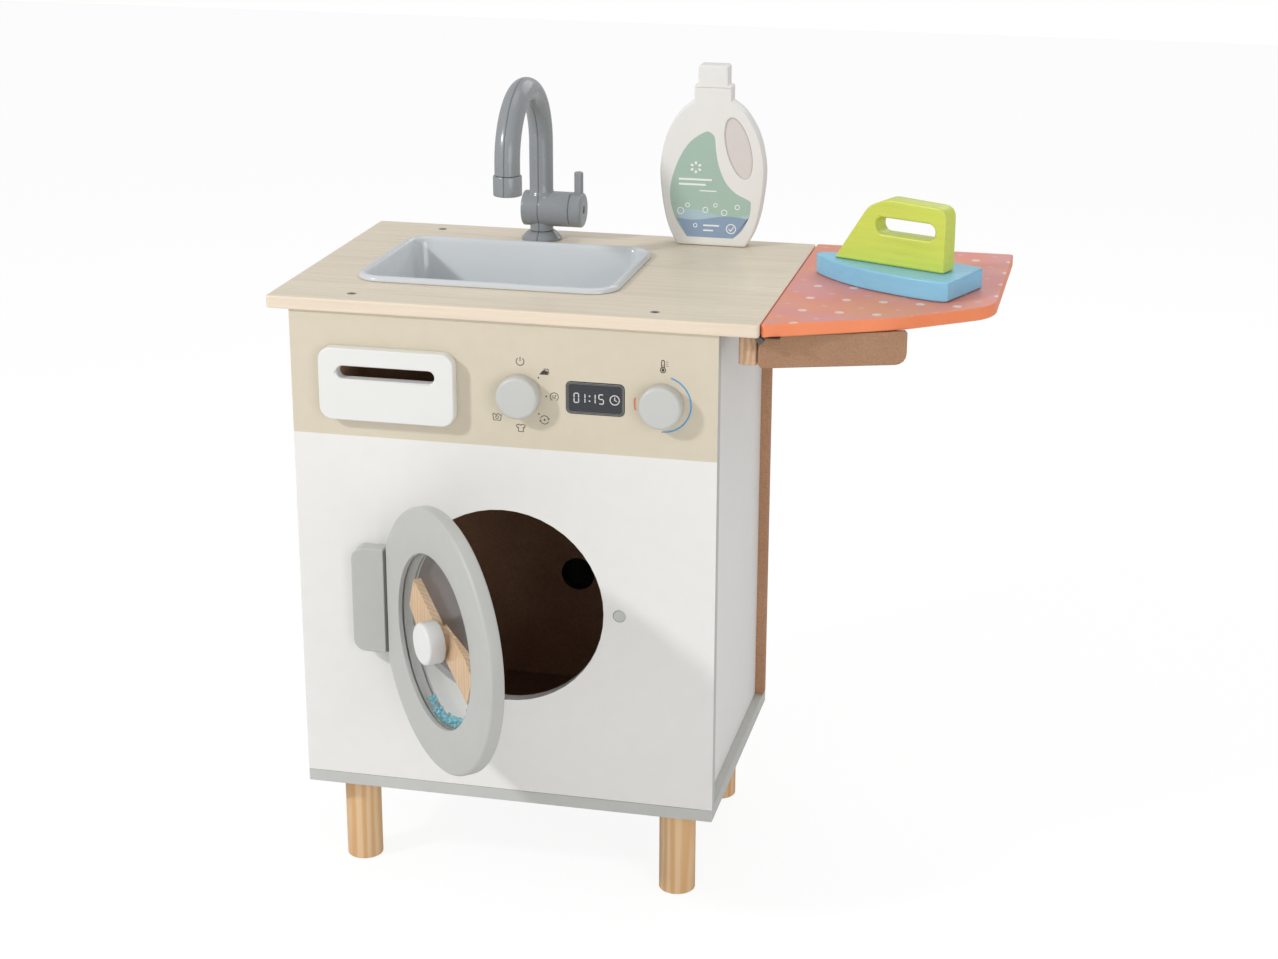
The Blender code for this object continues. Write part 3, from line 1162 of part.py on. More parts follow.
# Toy iron
def toy_iron(board, board_axis):
    axis_x, axis_z = board_axis
    sole = WORKTOP_TOP + SEAM - axis_z
    spot = (board_left() + IRON_REAR_X - axis_x, IRON_REAR_Y, 0)
    iron = empty("iron_lift", board, spot, IRON_ANGLE)
    half_width = IRON_WIDTH / 2
    side = [(IRON_LENGTH * along, half_width * across) for along, across in IRON_OUTLINE_SHARES]
    curve = flowing(side + [(IRON_LENGTH, 0)], 3)[:-1]
    outline = [(x, -y) for x, y in curve] + [(IRON_LENGTH, 0)] + [(x, y) for x, y in reversed(curve)]
    base = plate("iron_base", [outline], IRON_BASE_THICKNESS, flat(sole), "iron_blue", iron)
    round_edges(base, IRON_EDGE_ROUND, 2, 60)
    low = sole + IRON_BASE_THICKNESS + SEAM
    high = low + IRON_HANDLE_HEIGHT
    rear = IRON_HANDLE_REAR
    nose = rear + IRON_HANDLE_LENGTH
    front = [(nose - IRON_HANDLE_LENGTH * along, low + IRON_HANDLE_HEIGHT * up)
             for along, up in IRON_NOSE_SHARES]
    profile = rounded([(rear, low, 0), (*front[0], 0), (*front[1], IRON_GRIP_RADIUS * 2),
                       (*front[2], IRON_GRIP_RADIUS * 2),
                       (nose - IRON_HANDLE_LENGTH * IRON_BROW_SHARE, high, IRON_GRIP_RADIUS * 2),
                       (rear, high - IRON_GRIP_RADIUS / 5, IRON_GRIP_RADIUS)])
    slot = rounded_rectangle(rear + IRON_SLOT_REAR + IRON_SLOT_WIDTH / 2,
                             low + IRON_SLOT_RISE + IRON_SLOT_HEIGHT / 2, IRON_SLOT_WIDTH,
                             IRON_SLOT_HEIGHT, IRON_SLOT_HEIGHT / 2 - SEAM)
    handle = plate("iron_handle", [profile, slot], IRON_HANDLE_THICKNESS,
                   upright(-IRON_HANDLE_THICKNESS / 2, IRON_HANDLE_THICKNESS), "iron_green", iron)
    round_edges(handle, IRON_EDGE_ROUND * 2 / 3, 2, 60)
    for share in IRON_PEG_SHARES:
        peg_spot = Matrix.Translation((rear + IRON_HANDLE_LENGTH * share, 0, 0))
        peg = cylinder("peg", IRON_PEG_RADIUS, low - IRON_PEG_LENGTH, low + IRON_PEG_LENGTH, "iron_green",
                       iron, peg_spot)
        combine(handle, peg, "UNION")
        combine(base, cutting_cylinder(IRON_PEG_RADIUS + SEAM, low - IRON_PEG_LENGTH - SEAM, low + OVERRUN,
                                       iron, peg_spot), "DIFFERENCE")


# Toy detergent bottle
def detergent_bottle(cabinet):
    bottle = empty("bottle_lift", cabinet, (BOTTLE_X, BOTTLE_FRONT, 0))
    bottom = WORKTOP_TOP + SEAM
    half = BOTTLE_WIDTH / 2
    side = flowing([(half * across, bottom + BOTTLE_HEIGHT * up) for across, up in BOTTLE_SIDE_SHARES], 3)
    neck_low = bottom + BOTTLE_NECK_RISE
    cap_low = bottom + BOTTLE_CAP_RISE
    neck = BOTTLE_NECK_WIDTH / 2
    cap = BOTTLE_CAP_WIDTH / 2
    top = bottom + BOTTLE_HEIGHT
    right = side[:-1] + [(neck, neck_low), (neck, cap_low), (cap, cap_low), (cap, top)]
    outline = right + [(-x, z) for x, z in reversed(right)]
    body = plate("detergent_bottle", [outline], BOTTLE_THICKNESS, upright(0, BOTTLE_THICKNESS),
                 "bottle_white", bottle)
    round_edges(body, BOTTLE_ROUND, 2, 60)


def toy_origin():
    """The middle of the toy's footprint, from the board's right edge to the door's open edge."""
    right = board_left() + BOARD_WIDTH
    swing = DOOR_CHORD + HINGE_GAP / 2 + DOOR_RADIUS - DOOR_EDGE_ROUND
    nearest = (hinge_y() - swing * math.sin(DOOR_OPEN_ANGLE)
               + (DOOR_EDGE_ROUND - HINGE_SETBACK) * math.cos(DOOR_OPEN_ANGLE) - DOOR_EDGE_ROUND)
    farthest = max(WORKTOP_REAR, BOARD_FRONT + BOARD_LENGTH)
    return ((WORKTOP_LEFT + right) / 2, (nearest + farthest) / 2)


clear_scene()
PARTS = new_collection("toy_washing_machine")
CUTTERS = new_collection("cutters")
origin_x, origin_y = toy_origin()
toy = empty("toy_origin", None, (-origin_x, -origin_y, 0))
cabinet_panels(toy)
worktop_and_screws(toy)
sink_basin(toy)
hinge_block(toy)
door_axis = empty("door_axis", toy, (hinge_x(), hinge_y(), 0), -DOOR_OPEN_ANGLE)
pane_front, chamber = drum_door(toy, door_axis)
paddle_axis = empty("paddle_axis", door_axis, door_space(DRUM_X, 0, DRUM_Z))
paddle_and_knob(paddle_axis, pane_front, chamber)
dial("program_dial", PROGRAM_DIAL_X, toy)
dial("temperature_dial", temperature_dial_x(), toy)
drawer_and_runners(toy)
tap_pieces(toy)
board_axis_empty, board_axis = board_and_bracket(toy)
toy_iron(board_axis_empty, board_axis)
detergent_bottle(toy)
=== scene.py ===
"""Looks of a wooden toy washing machine with a sink, a tap, a fold-out ironing board and two toys.

Lengths are in metres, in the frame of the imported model. Pieces with many facets in the model are
stood for by finer ones in the same places, and every surface gets a procedural finish.
"""

import math
import random

import bmesh
import bpy
from mathutils import Matrix, Vector


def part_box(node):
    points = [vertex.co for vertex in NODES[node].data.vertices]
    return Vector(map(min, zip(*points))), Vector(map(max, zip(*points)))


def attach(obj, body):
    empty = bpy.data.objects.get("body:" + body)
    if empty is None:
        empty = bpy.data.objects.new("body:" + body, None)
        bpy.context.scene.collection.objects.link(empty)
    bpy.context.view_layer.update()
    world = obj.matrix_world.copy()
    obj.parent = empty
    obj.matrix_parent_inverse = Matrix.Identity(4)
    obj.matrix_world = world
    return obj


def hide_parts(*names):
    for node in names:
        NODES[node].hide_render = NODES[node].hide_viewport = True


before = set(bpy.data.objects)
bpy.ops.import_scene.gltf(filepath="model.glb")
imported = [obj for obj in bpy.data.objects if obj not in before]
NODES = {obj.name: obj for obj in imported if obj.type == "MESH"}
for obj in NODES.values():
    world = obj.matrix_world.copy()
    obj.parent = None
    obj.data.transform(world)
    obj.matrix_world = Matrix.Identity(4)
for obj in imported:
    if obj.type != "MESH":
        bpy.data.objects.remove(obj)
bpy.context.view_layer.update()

# The gap between a piece and what it rests on
SEAM = 0.0003


def ends(box):
    """A box's lowest and highest corners as vectors."""
    return [Vector(corner) for corner in box]


# The cabinet's own frame: the middle of its front face at floor level
PANEL_LOW, PANEL_HIGH = ends(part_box("front_panel"))
CABINET_X = (PANEL_LOW.x + PANEL_HIGH.x) / 2
CABINET_FRONT = PANEL_LOW.y
TOY = Matrix.Translation((CABINET_X, CABINET_FRONT, 0))
WORKTOP_TOP = ends(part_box("worktop"))[1].z
DIAL_Z = 0.4995

# Camera
CAMERA_PLACE = (0.46876, -2.02207, 1.10445)
CAMERA_YAW = 0.22388071
CAMERA_PITCH = 0.3256151
CAMERA_ROLL = 0.00384764
SENSOR_WIDTH = 36.0
FOCAL_PIXELS = 2348.29
PHOTO_WIDTH = 1278

# Light: each lamp's name, place, width and power
LAMPS = (("key", (-1.9, -1.6, 1.9), 0.25, 34.0), ("fill", (1.9, -2.3, 0.9), 1.8, 22.0),
         ("rear", (0.6, 2.0, 1.9), 1.5, 8.0), ("top", (0.2, 0.5, 2.7), 1.2, 4.0))
LAMP_TARGET = Vector((0.0, 0.0, 0.35))
AMBIENT = 0.57
FLOOR_REACH = 6
FLOOR_DROP = 0.0004
FLOOR_LIT_GREY = 0.80
FLOOR_SEEN_GREY = 0.14
FLOOR_SEEN_GLOW = 0.89

# Where the colours of the cabinet's boards meet; a pair is where a blend starts and ends
BAND_HEIGHT = 0.4489
BAND_BLUR = 0.00015
CUT_DEPTH = (0.0005, 0.0008)
BARE_DEPTH = (0.0112, 0.0118)
BARE_HALF_WIDTH = (0.1885, 0.1880)
SIDE_PANEL_EDGES = (0.1795, 0.1905)
BASE_TOP = (0.1040, 0.10425)

# Small parts of the cabinet
LEG_TOP = 0.092
CAP_THICKNESS = 0.0015
DRAWER_CORNER = 0.012
DRAWER_SLOT = (0.0929, 0.012)
DRAWER_SLOT_RISE = 0.0115
DISPLAY_CORNER = 0.005
DISPLAY_ROUND = 0.0003
SCREW_DEPTH = 0.0024

# Door
DOOR_OPEN_ANGLE = math.radians(48.8)
DOOR_RADIUS = 0.12228
DOOR_THICKNESS = 0.0142
DOOR_STAND_OFF = 0.016
DOOR_CHORD = 0.1088
DOOR_EDGE_ROUND = 0.003
DRUM_X = 0.0006
DRUM_Z = 0.2928
HINGE_GAP = 0.003
HINGE_SETBACK = 0.0006
WINDOW_RADIUS = 0.0805
WINDOW_LIP = 0.0042
WINDOW_SEAT_RADIUS = 0.086
FRONT_PANE_THICKNESS = 0.0025
REAR_PANE_THICKNESS = 0.002
PANE_SPACING = 0.0093
BACK_RING_RADIUS = 0.091
BACK_RING_LIP = 0.0019
BEAD_HEAP_TOP = 0.070
DOOR_KNOB_PROUD = 0.0124
BEAD_RADIUS = 0.0021
BEAD_SEED = 11
BEAD_ATTEMPTS = 6000
BEAD_SPACING = 1.93
BEAD_GROUPS = ((-88, 27, 90), (-70, 40, 12), (-6, 7, 8))

# Knobs
KNOB_RADIUS = 0.0195
KNOB_ROUND = 0.0032
SPINDLE_RADIUS = 0.003

# Sink
SINK_CORNER = 0.027
SINK_RIM_WIDTH = 0.009
SINK_RIM_HEIGHT = 0.005
SINK_DEPTH = 0.064
SINK_WALL = 0.002
SINK_DRAFT = 0.007
SINK_FLOOR_ROUND = 0.010
SINK_PLAY = 0.0006

# Tap
TAP_PLACE = (-0.14155, 0.214287)
TAP_FLANGE_RADIUS = 0.020
TAP_FLANGE_TOP_RADIUS = 0.0135
TAP_FLANGE_HEIGHT = 0.0084
TAP_NECK_RADIUS = 0.0115
TAP_VALVE_RADIUS = 0.0175
TAP_VALVE_LEFT = 0.0175
TAP_VALVE_RIGHT = 0.031
TAP_VALVE_HEIGHT = 0.0309
TAP_TUBE_RADIUS = 0.0118
TAP_SPOUT_RADIUS = 0.0122
TAP_ARCH_RADIUS = 0.061
TAP_ARCH_HEIGHT = 0.0974
TAP_SPOUT_DROP = 0.0095
TAP_NOZZLE_RADIUS = 0.01375
TAP_NOZZLE_HEIGHT = 0.0192
TAP_NOZZLE_BORE = 0.010
TAP_NOZZLE_BORE_DEPTH = 0.014
TAP_KNOB_LENGTH = 0.0125
TAP_SCREW_RECESS = 0.00425
TAP_SCREW_RECESS_DEPTH = 0.0045
TAP_LEVER_RADIUS = 0.0045
TAP_LEVER_TOP = 0.0385
TAP_LEVER_ROOT = 0.0095
TAP_LEVER_SHARE = 0.58
TAP_SCREW_HEIGHT = 0.0023
TAP_SCREW_DEPTH = 0.0021
TAP_SOFT = 0.0006
TAP_RIM = 0.0009

# Ironing board
BOARD_SLANT_SHARES = ((0.60, 0.17), (1.0, 0.357))
BOARD_SLANT_RADIUS = 0.150
BOARD_TIP_RADIUS = 0.045
BOARD_CORNER = 0.003
BOARD_OVERHANG = 0.0015
BOARD_LENGTH = 0.3245
DOT_SPACING = (0.0333, 0.0460)
DOT_START = (0.1590, -0.0546)
DOT_BLUR = 0.00015
DOT_RUN_UP = 40.5
SMALL_DOT_RADIUS = 0.0031
BIG_DOT_RADIUS = 0.0042
EDGE_ROUND = 0.0015

# Toy iron
IRON_PLACE = (0.29485, 0.079387)
IRON_ANGLE = math.atan2(0.379, -0.925)
IRON_LENGTH = 0.158
IRON_WIDTH = 0.078
IRON_BASE_THICKNESS = 0.0187
IRON_OUTLINE_SHARES = ((0.0, 0.86), (0.06, 0.97), (0.24, 1.0), (0.50, 0.90), (0.72, 0.68),
                       (0.88, 0.38), (0.965, 0.16))
IRON_HANDLE_THICKNESS = 0.021
IRON_HANDLE_LENGTH = 0.1155
IRON_HANDLE_HEIGHT = 0.062
IRON_HANDLE_REAR = 0.0175
IRON_GRIP_RADIUS = 0.010
IRON_NOSE_SHARES = ((0.0, 0.0), (0.155, 0.45), (0.30, 0.86))
IRON_BROW_SHARE = 0.47
IRON_BASE_ROUND = 0.0016
IRON_HANDLE_ROUND = 0.002
IRON_SLOT = (0.0105, 0.0288, 0.062, 0.0155)

# Toy bottle
BOTTLE_PLACE = (0.03045, 0.220287)
BOTTLE_WIDTH = 0.1037
BOTTLE_HEIGHT = 0.1785
BOTTLE_THICKNESS = 0.020
BOTTLE_ROUND = 0.002
BOTTLE_SIDE_SHARES = ((0.66, 0.0), (0.81, 0.081), (0.925, 0.196), (1.0, 0.364), (0.985, 0.487),
                      (0.862, 0.627), (0.62, 0.745), (0.365, 0.806))
BOTTLE_NECK_WIDTH = 0.037
BOTTLE_NECK_RISE = 0.144
BOTTLE_CAP_WIDTH = 0.0296
BOTTLE_CAP_RISE = 0.1588
BOTTLE_BOTTOM = WORKTOP_TOP + SEAM
BOTTLE_GRIP = (0.0262, BOTTLE_BOTTOM + 0.0985, 0.0116, 0.0305, 15)
BOTTLE_GROOVE = 0.0009

# Thin layers: printed films and the texture of lacquer
FILM_THICKNESS = 0.00008
FILM_OFFSET = 0.2
FILM_STEP = 0.00004
PEEL_DEPTH = 0.00004


# How finely the round pieces are drawn
FINE_SIDES = 144
SIDES = 96
SMALL_SIDES = 48
CORNER_STEPS = 10
ROUND_STEPS = 6

UP_TO_FRONT = Matrix.Rotation(math.radians(90), 4, "X")
UP_TO_RIGHT = Matrix.Rotation(math.radians(90), 4, "Y")


# Finishes
def tint(red, green, blue):
    """A linear colour with alpha from 0 to 255 display values."""
    def linear(value):
        share = value / 255
        return share / 12.92 if share <= 0.04045 else ((share + 0.055) / 1.055) ** 2.4
    return (linear(red), linear(green), linear(blue), 1.0)


def shade(colour, factor):
    return (*(min(value * factor, 1.0) for value in colour[:3]), 1.0)


class Finish:
    """A material whose nodes are added one call at a time, in the object's own space, in metres."""

    def __init__(self, name, roughness=0.5, metallic=0.0, **sockets):
        self.material = bpy.data.materials.new(name)
        self.material.use_nodes = True
        self.tree = self.material.node_tree
        self.shader = self.tree.nodes["Principled BSDF"]
        self.shader.inputs["Roughness"].default_value = roughness
        self.shader.inputs["Metallic"].default_value = metallic
        for socket, value in sockets.items():
            self.shader.inputs[socket.replace("_", " ")].default_value = value
        self.place = self.node("ShaderNodeTexCoord").outputs["Object"]
        self.facing = self.place.node.outputs["Normal"]

    def node(self, kind, **settings):
        node = self.tree.nodes.new(kind)
        for name, value in settings.items():
            setattr(node, name, value)
        return node

    def feed(self, socket, value):
        if isinstance(value, bpy.types.NodeSocket):
            self.tree.links.new(value, socket)
        else:
            socket.default_value = value

    # Sources and sums of values
    def stretch(self, scale, rotation=(0, 0, 0), shift=(0, 0, 0)):
        node = self.node("ShaderNodeMapping")
        self.feed(node.inputs["Vector"], self.place)
        node.inputs["Scale"].default_value = scale
        node.inputs["Rotation"].default_value = rotation
        node.inputs["Location"].default_value = shift
        return node.outputs["Vector"]

    def noise(self, scale, detail=3.0, roughness=0.5, vector=None, distortion=0.0):
        node = self.node("ShaderNodeTexNoise")
        self.feed(node.inputs["Vector"], vector or self.place)
        node.inputs["Scale"].default_value = scale
        node.inputs["Detail"].default_value = detail
        node.inputs["Roughness"].default_value = roughness
        node.inputs["Distortion"].default_value = distortion
        return node.outputs["Fac"]

    def bands(self, scale, vector, across, distortion=5.0):
        node = self.node("ShaderNodeTexWave", bands_direction=across)
        self.feed(node.inputs["Vector"], vector)
        node.inputs["Scale"].default_value = scale
        node.inputs["Distortion"].default_value = distortion
        return node.outputs["Fac"]

    def maths(self, operation, first, second=0.0):
        node = self.node("ShaderNodeMath", operation=operation)
        for socket, value in zip(node.inputs, (first, second)):
            self.feed(socket, value)
        return node.outputs[0]

    def axis(self, name, vector=None):
        node = self.node("ShaderNodeSeparateXYZ")
        self.feed(node.inputs[0], vector or self.place)
        return node.outputs[name]

    def between(self, value, low, high, to_low=0.0, to_high=1.0):
        node = self.node("ShaderNodeMapRange", interpolation_type="SMOOTHSTEP")
        for name, number in (("Value", value), ("From Min", low), ("From Max", high),
                             ("To Min", to_low), ("To Max", to_high)):
            self.feed(node.inputs[name], number)
        return node.outputs[0]

    def mix(self, share, first, second):
        node = self.node("ShaderNodeMix", data_type="RGBA")
        self.feed(node.inputs["Factor"], share)
        for socket, value in zip((node.inputs[6], node.inputs[7]), (first, second)):
            self.feed(socket, value)
        return node.outputs[2]

    def over(self, ground, value, low, high, share, colour):
        """Lays a colour over a ground, from none at the low value up to a share of it at the high one."""
        return self.mix(self.between(value, low, high, 0.0, share), ground, colour)

    # What the surface gets
    def colour(self, value):
        self.feed(self.shader.inputs["Base Color"], value)

    def tones(self, share, colour, first, second):
        """The base colour, shifting between two strengths of it."""
        self.colour(self.mix(share, shade(colour, first), shade(colour, second)))

    def roughness(self, value):
        self.feed(self.shader.inputs["Roughness"], value)

    def bump(self, height, strength, distance):
        node = self.node("ShaderNodeBump")
        node.inputs["Strength"].default_value = strength
        node.inputs["Distance"].default_value = distance
        self.feed(node.inputs["Height"], height)
        self.feed(self.shader.inputs["Normal"], node.outputs["Normal"])

    def fibres(self, order, dark, pale):
        """Colour of bare fibreboard, its fibres pressed flat along two of the axes."""
        flecks = self.noise(420, 5, 0.7, self.stretch(order))
        return self.mix(self.between(flecks, 0.3, 0.7), dark, pale)

    def off_middle(self):
        """Distance from the cabinet's middle plane."""
        return self.maths("ABSOLUTE", self.maths("SUBTRACT", self.axis("X"), CABINET_X))

    def lacquered(self, cloud, glossy, dull, peel, strength, depth):
        """Gloss that changes slowly from place to place, over a fine orange peel."""
        self.roughness(self.between(self.noise(*cloud), 0.3, 0.7, glossy, dull))
        self.bump(self.noise(*peel), strength, depth)
        return self.material


def painted(name, colour, roughness, mottle):
    """Sprayed lacquer on board: slight mottling, orange peel and uneven gloss."""
    finish = Finish(name)
    finish.tones(finish.noise(60, 3), colour, 1 - mottle, 1 + mottle)
    return finish.lacquered((9, 4), roughness - 0.05, roughness + 0.07, (900, 2), 0.25, PEEL_DEPTH)


def moulded(name, colour, roughness=0.3, scuff=0.06):
    """Injection-moulded plastic: even colour, faint flow marks, fine texture and small scuffs."""
    finish = Finish(name)
    flow = finish.noise(30, 3)
    scratches = finish.noise(240, 4, vector=finish.stretch((1.0, 6.0, 1.0), (0.3, 0.2, 0.5)))
    finish.tones(flow, colour, 0.97, 1.03)
    finish.roughness(finish.between(scratches, 0.45, 0.75, roughness, roughness + scuff))
    finish.bump(finish.noise(1400, 2), 0.12, 0.00003)
    return finish.material


def fibreboard(name, pale, dark, roughness=0.85):
    """Raw fibreboard: short crossed fibres, dark flecks and a dusty surface."""
    finish = Finish(name, Specular_IOR_Level=0.2)
    fibres = finish.noise(700, 5, 0.65, finish.stretch((1.0, 0.45, 1.6)))
    crossed = finish.noise(800, 5, 0.65, finish.stretch((1.7, 0.5, 0.5), (0.4, 0.1, 0.9)))
    cloud = finish.noise(16, 4)
    mat = finish.mix(finish.between(fibres, 0.3, 0.7), dark, pale)
    mat = finish.over(mat, crossed, 0.52, 0.72, 0.25, shade(pale, 1.15))
    mat = finish.over(mat, cloud, 0.35, 0.7, 0.3, shade(dark, 0.8))
    finish.colour(mat)
    finish.roughness(finish.between(fibres, 0.2, 0.8, roughness - 0.08, roughness + 0.08))
    finish.bump(fibres, 0.5, 0.00012)
    return finish.material


def wood(name, pale, dark, ring_scale, along="Z", roughness=0.5):
    """Planed softwood: rings cut lengthwise, pores in short lines, and a slow change of tone."""
    slow = 0.09
    order = {"X": (slow, 1, 1), "Y": (1, slow, 1), "Z": (1, 1, slow)}[along]
    finish = Finish(name, Specular_IOR_Level=0.35)
    grain_space = finish.stretch(order, shift=(0.013, 0.021, 0.008))
    bend = finish.noise(22, 2, vector=grain_space)
    centre = finish.maths("MULTIPLY", bend, 0.05)
    rings = finish.bands(ring_scale, grain_space, "X" if along == "Y" else "Y")
    pores = finish.noise(520, 4, 0.65, finish.stretch(tuple(0.6 * value for value in order)))
    body = finish.mix(finish.between(finish.maths("ADD", rings, centre), 0.15, 0.95), pale, dark)
    body = finish.over(body, pores, 0.55, 0.8, 0.4, shade(dark, 0.8))
    body = finish.over(body, bend, 0.3, 0.75, 0.5, shade(pale, 1.1))
    finish.colour(body)
    finish.roughness(finish.between(rings, 0.0, 1.0, roughness, roughness + 0.12))
    finish.bump(pores, 0.3, 0.00006)
    return finish.material


def laminate():
    """Printed wood foil on top with fine straight grain, and a paler foil round the edge."""
    finish = Finish("worktop_laminate_look", Specular_IOR_Level=0.4)
    pale = tint(226, 214, 193)
    lines = finish.noise(150, 6, 0.6, finish.stretch((0.035, 1.0, 1.0)))
    fine = finish.noise(520, 3, 0.6, finish.stretch((0.03, 1.0, 1.0)))
    figure = finish.noise(26, 4, 0.55, finish.stretch((0.12, 1.0, 1.0)), 0.6)
    pores = finish.noise(900, 2, 0.5, finish.stretch((0.05, 1.0, 1.0)))
    top = finish.mix(finish.between(figure, 0.3, 0.7), shade(pale, 0.955), shade(pale, 1.03))
    top = finish.over(top, lines, 0.42, 0.68, 0.38, tint(206, 189, 167))
    top = finish.over(top, fine, 0.55, 0.75, 0.35, tint(232, 222, 206))
    top = finish.over(top, pores, 0.66, 0.78, 0.22, tint(190, 170, 146))
    edge_pale = tint(234, 218, 197)
    edge = finish.mix(finish.between(lines, 0.4, 0.7), edge_pale, shade(edge_pale, 0.93))
    up = finish.between(finish.axis("Z", finish.facing), 0.5, 0.8)
    finish.colour(finish.mix(up, edge, top))
    finish.roughness(finish.between(lines, 0.3, 0.7, 0.26, 0.36))
    finish.bump(pores, 0.2, 0.00005)
    return finish.material


def front_paint():
    """White lower part, beige band above it, grey cut edges, bare fibreboard inside the cabinet."""
    finish = Finish("front_panel_look", Specular_IOR_Level=0.4)
    band = finish.between(finish.axis("Z"), BAND_HEIGHT - BAND_BLUR, BAND_HEIGHT + BAND_BLUR)
    speckle = finish.noise(70, 3)
    white = finish.mix(speckle, tint(230, 229, 225), tint(234, 233, 230))
    beige = finish.mix(speckle, tint(210, 200, 179), tint(216, 206, 186))
    grey_edge = finish.mix(speckle, tint(186, 186, 182), tint(196, 196, 192))
    raw = finish.fibres((1.0, 1.6, 0.45), tint(84, 61, 45), tint(112, 84, 63))
    depth = finish.maths("SUBTRACT", finish.axis("Y"), CABINET_FRONT)
    front = finish.mix(band, white, beige)
    cut = finish.mix(finish.between(depth, *CUT_DEPTH), front, grey_edge)
    inside = finish.maths("MULTIPLY", finish.between(depth, *BARE_DEPTH),
                          finish.between(finish.off_middle(), *BARE_HALF_WIDTH))
    finish.colour(finish.mix(inside, cut, raw))
    return finish.lacquered((14, 4), 0.38, 0.5, (900, 2), 0.22, PEEL_DEPTH)


def side_paint():
    """White outside, turning to bare fibreboard on the face that looks into the cabinet."""
    finish = Finish("side_panel_look", Specular_IOR_Level=0.4)
    raw = finish.fibres((1.6, 1.0, 0.45), tint(120, 90, 68), tint(150, 114, 88))
    white = finish.mix(finish.noise(60, 3), tint(232, 232, 229), tint(237, 237, 235))
    finish.colour(finish.mix(finish.between(finish.off_middle(), *SIDE_PANEL_EDGES), raw, white))
    return finish.lacquered((12, 4), 0.4, 0.5, (800, 2), 0.22, PEEL_DEPTH)


def base_paint():
    """Grey lacquer with paler worn spots, and bare fibreboard on the cabinet's floor."""
    finish = Finish("base_board_look", Specular_IOR_Level=0.4)
    raw = finish.fibres((0.45, 1.0, 1.6), tint(132, 100, 78), tint(160, 124, 98))
    grey = finish.mix(finish.noise(50, 4), tint(190, 191, 187), tint(198, 199, 195))
    rub = finish.between(finish.noise(120, 5, 0.7), 0.62, 0.72, 0.0, 0.35)
    grey = finish.mix(rub, grey, tint(212, 212, 208))
    floor_part = finish.maths("MULTIPLY", finish.between(finish.axis("Z"), *BASE_TOP),
                              finish.between(finish.off_middle(), *BARE_HALF_WIDTH))
    finish.colour(finish.mix(floor_part, grey, raw))
    return finish.lacquered((30, 3), 0.42, 0.55, (700, 3), 0.25, 0.00005)


def board_print():
    """Orange lacquer; on top a printed sheet with staggered dots over soft patches of colour."""
    finish = Finish("ironing_board_look", Specular_IOR_Level=0.45)
    step_x, step_y = DOT_SPACING

    def dots(shifts, radius):
        parts = []
        for name, start, shift, step in zip("XY", DOT_START, shifts, DOT_SPACING):
            offset = finish.maths("SUBTRACT", finish.axis(name), start + shift)
            past = finish.maths("ADD", offset, step * DOT_RUN_UP)
            share = finish.maths("SUBTRACT", finish.maths("FRACT", finish.maths("DIVIDE", past, step)), 0.5)
            parts.append(finish.maths("POWER", finish.maths("MULTIPLY", share, step), 2.0))
        distance = finish.maths("SQRT", finish.maths("ADD", *parts))
        return finish.between(distance, radius + DOT_BLUR, radius - DOT_BLUR)

    cloud = finish.noise(13, 2, 0.4, finish.stretch((1.0, 0.8, 1.0)), 0.8)
    patch = finish.noise(19, 1, 0.3, finish.stretch((1, 1, 1), shift=(0.3, 0.1, 0)), 0.4)
    ground = finish.mix(finish.between(cloud, 0.35, 0.7), tint(226, 140, 122), tint(228, 148, 114))
    ground = finish.over(ground, patch, 0.45, 0.72, 0.7, tint(218, 146, 148))
    ground = finish.mix(dots((step_x / 2, step_y * 0.44), SMALL_DOT_RADIUS), ground, tint(226, 164, 156))
    ground = finish.mix(dots((0, 0), BIG_DOT_RADIUS), ground, tint(232, 206, 196))
    edge = finish.mix(finish.noise(40, 3), tint(240, 134, 86), tint(247, 145, 97))
    up = finish.between(finish.axis("Z", finish.facing), 0.75, 0.9)
    down = finish.between(finish.axis("Z", finish.facing), -0.75, -0.9)
    raw = finish.fibres((1.0, 0.45, 1.6), tint(140, 105, 80), tint(165, 128, 99))
    finish.colour(finish.mix(down, finish.mix(up, edge, ground), raw))
    return finish.lacquered((20, 3), 0.34, 0.46, (850, 2), 0.2, PEEL_DEPTH)


def painted_wood(name, colour, roughness=0.38):
    """Thin bright lacquer on solid wood: the grain still shows in its gloss and tone."""
    finish = Finish(name, Coat_Weight=0.15, Coat_Roughness=0.25)
    grain = finish.noise(210, 5, 0.6, finish.stretch((0.07, 1.0, 1.0)))
    cloud = finish.noise(24, 3)
    body = finish.mix(finish.between(grain, 0.35, 0.7), shade(colour, 1.04), shade(colour, 0.95))
    body = finish.over(body, cloud, 0.35, 0.65, 0.5, shade(colour, 1.05))
    finish.colour(body)
    finish.roughness(finish.between(grain, 0.3, 0.7, roughness - 0.04, roughness + 0.08))
    finish.bump(grain, 0.28, 0.00006)
    return finish.material


def brushed(name, colour, roughness=0.32):
    finish = Finish(name, metallic=1.0)
    lines = finish.noise(900, 3, 0.6, finish.stretch((1.0, 1.0, 0.06)))
    finish.tones(finish.between(lines, 0.3, 0.7), colour, 0.85, 1.1)
    finish.roughness(finish.between(lines, 0.3, 0.7, roughness - 0.06, roughness + 0.1))
    finish.bump(lines, 0.2, 0.00003)
    return finish.material


def clear_plastic():
    finish = Finish("window_look", roughness=0.03, Specular_IOR_Level=0.15)
    smears = finish.noise(35, 5, 0.65)
    finish.colour(finish.mix(smears, tint(250, 251, 250), tint(254, 254, 254)))
    finish.roughness(finish.between(smears, 0.4, 0.75, 0.0, 0.04))
    finish.shader.inputs["Transmission Weight"].default_value = 1.0
    finish.shader.inputs["IOR"].default_value = 1.15
    return finish.material


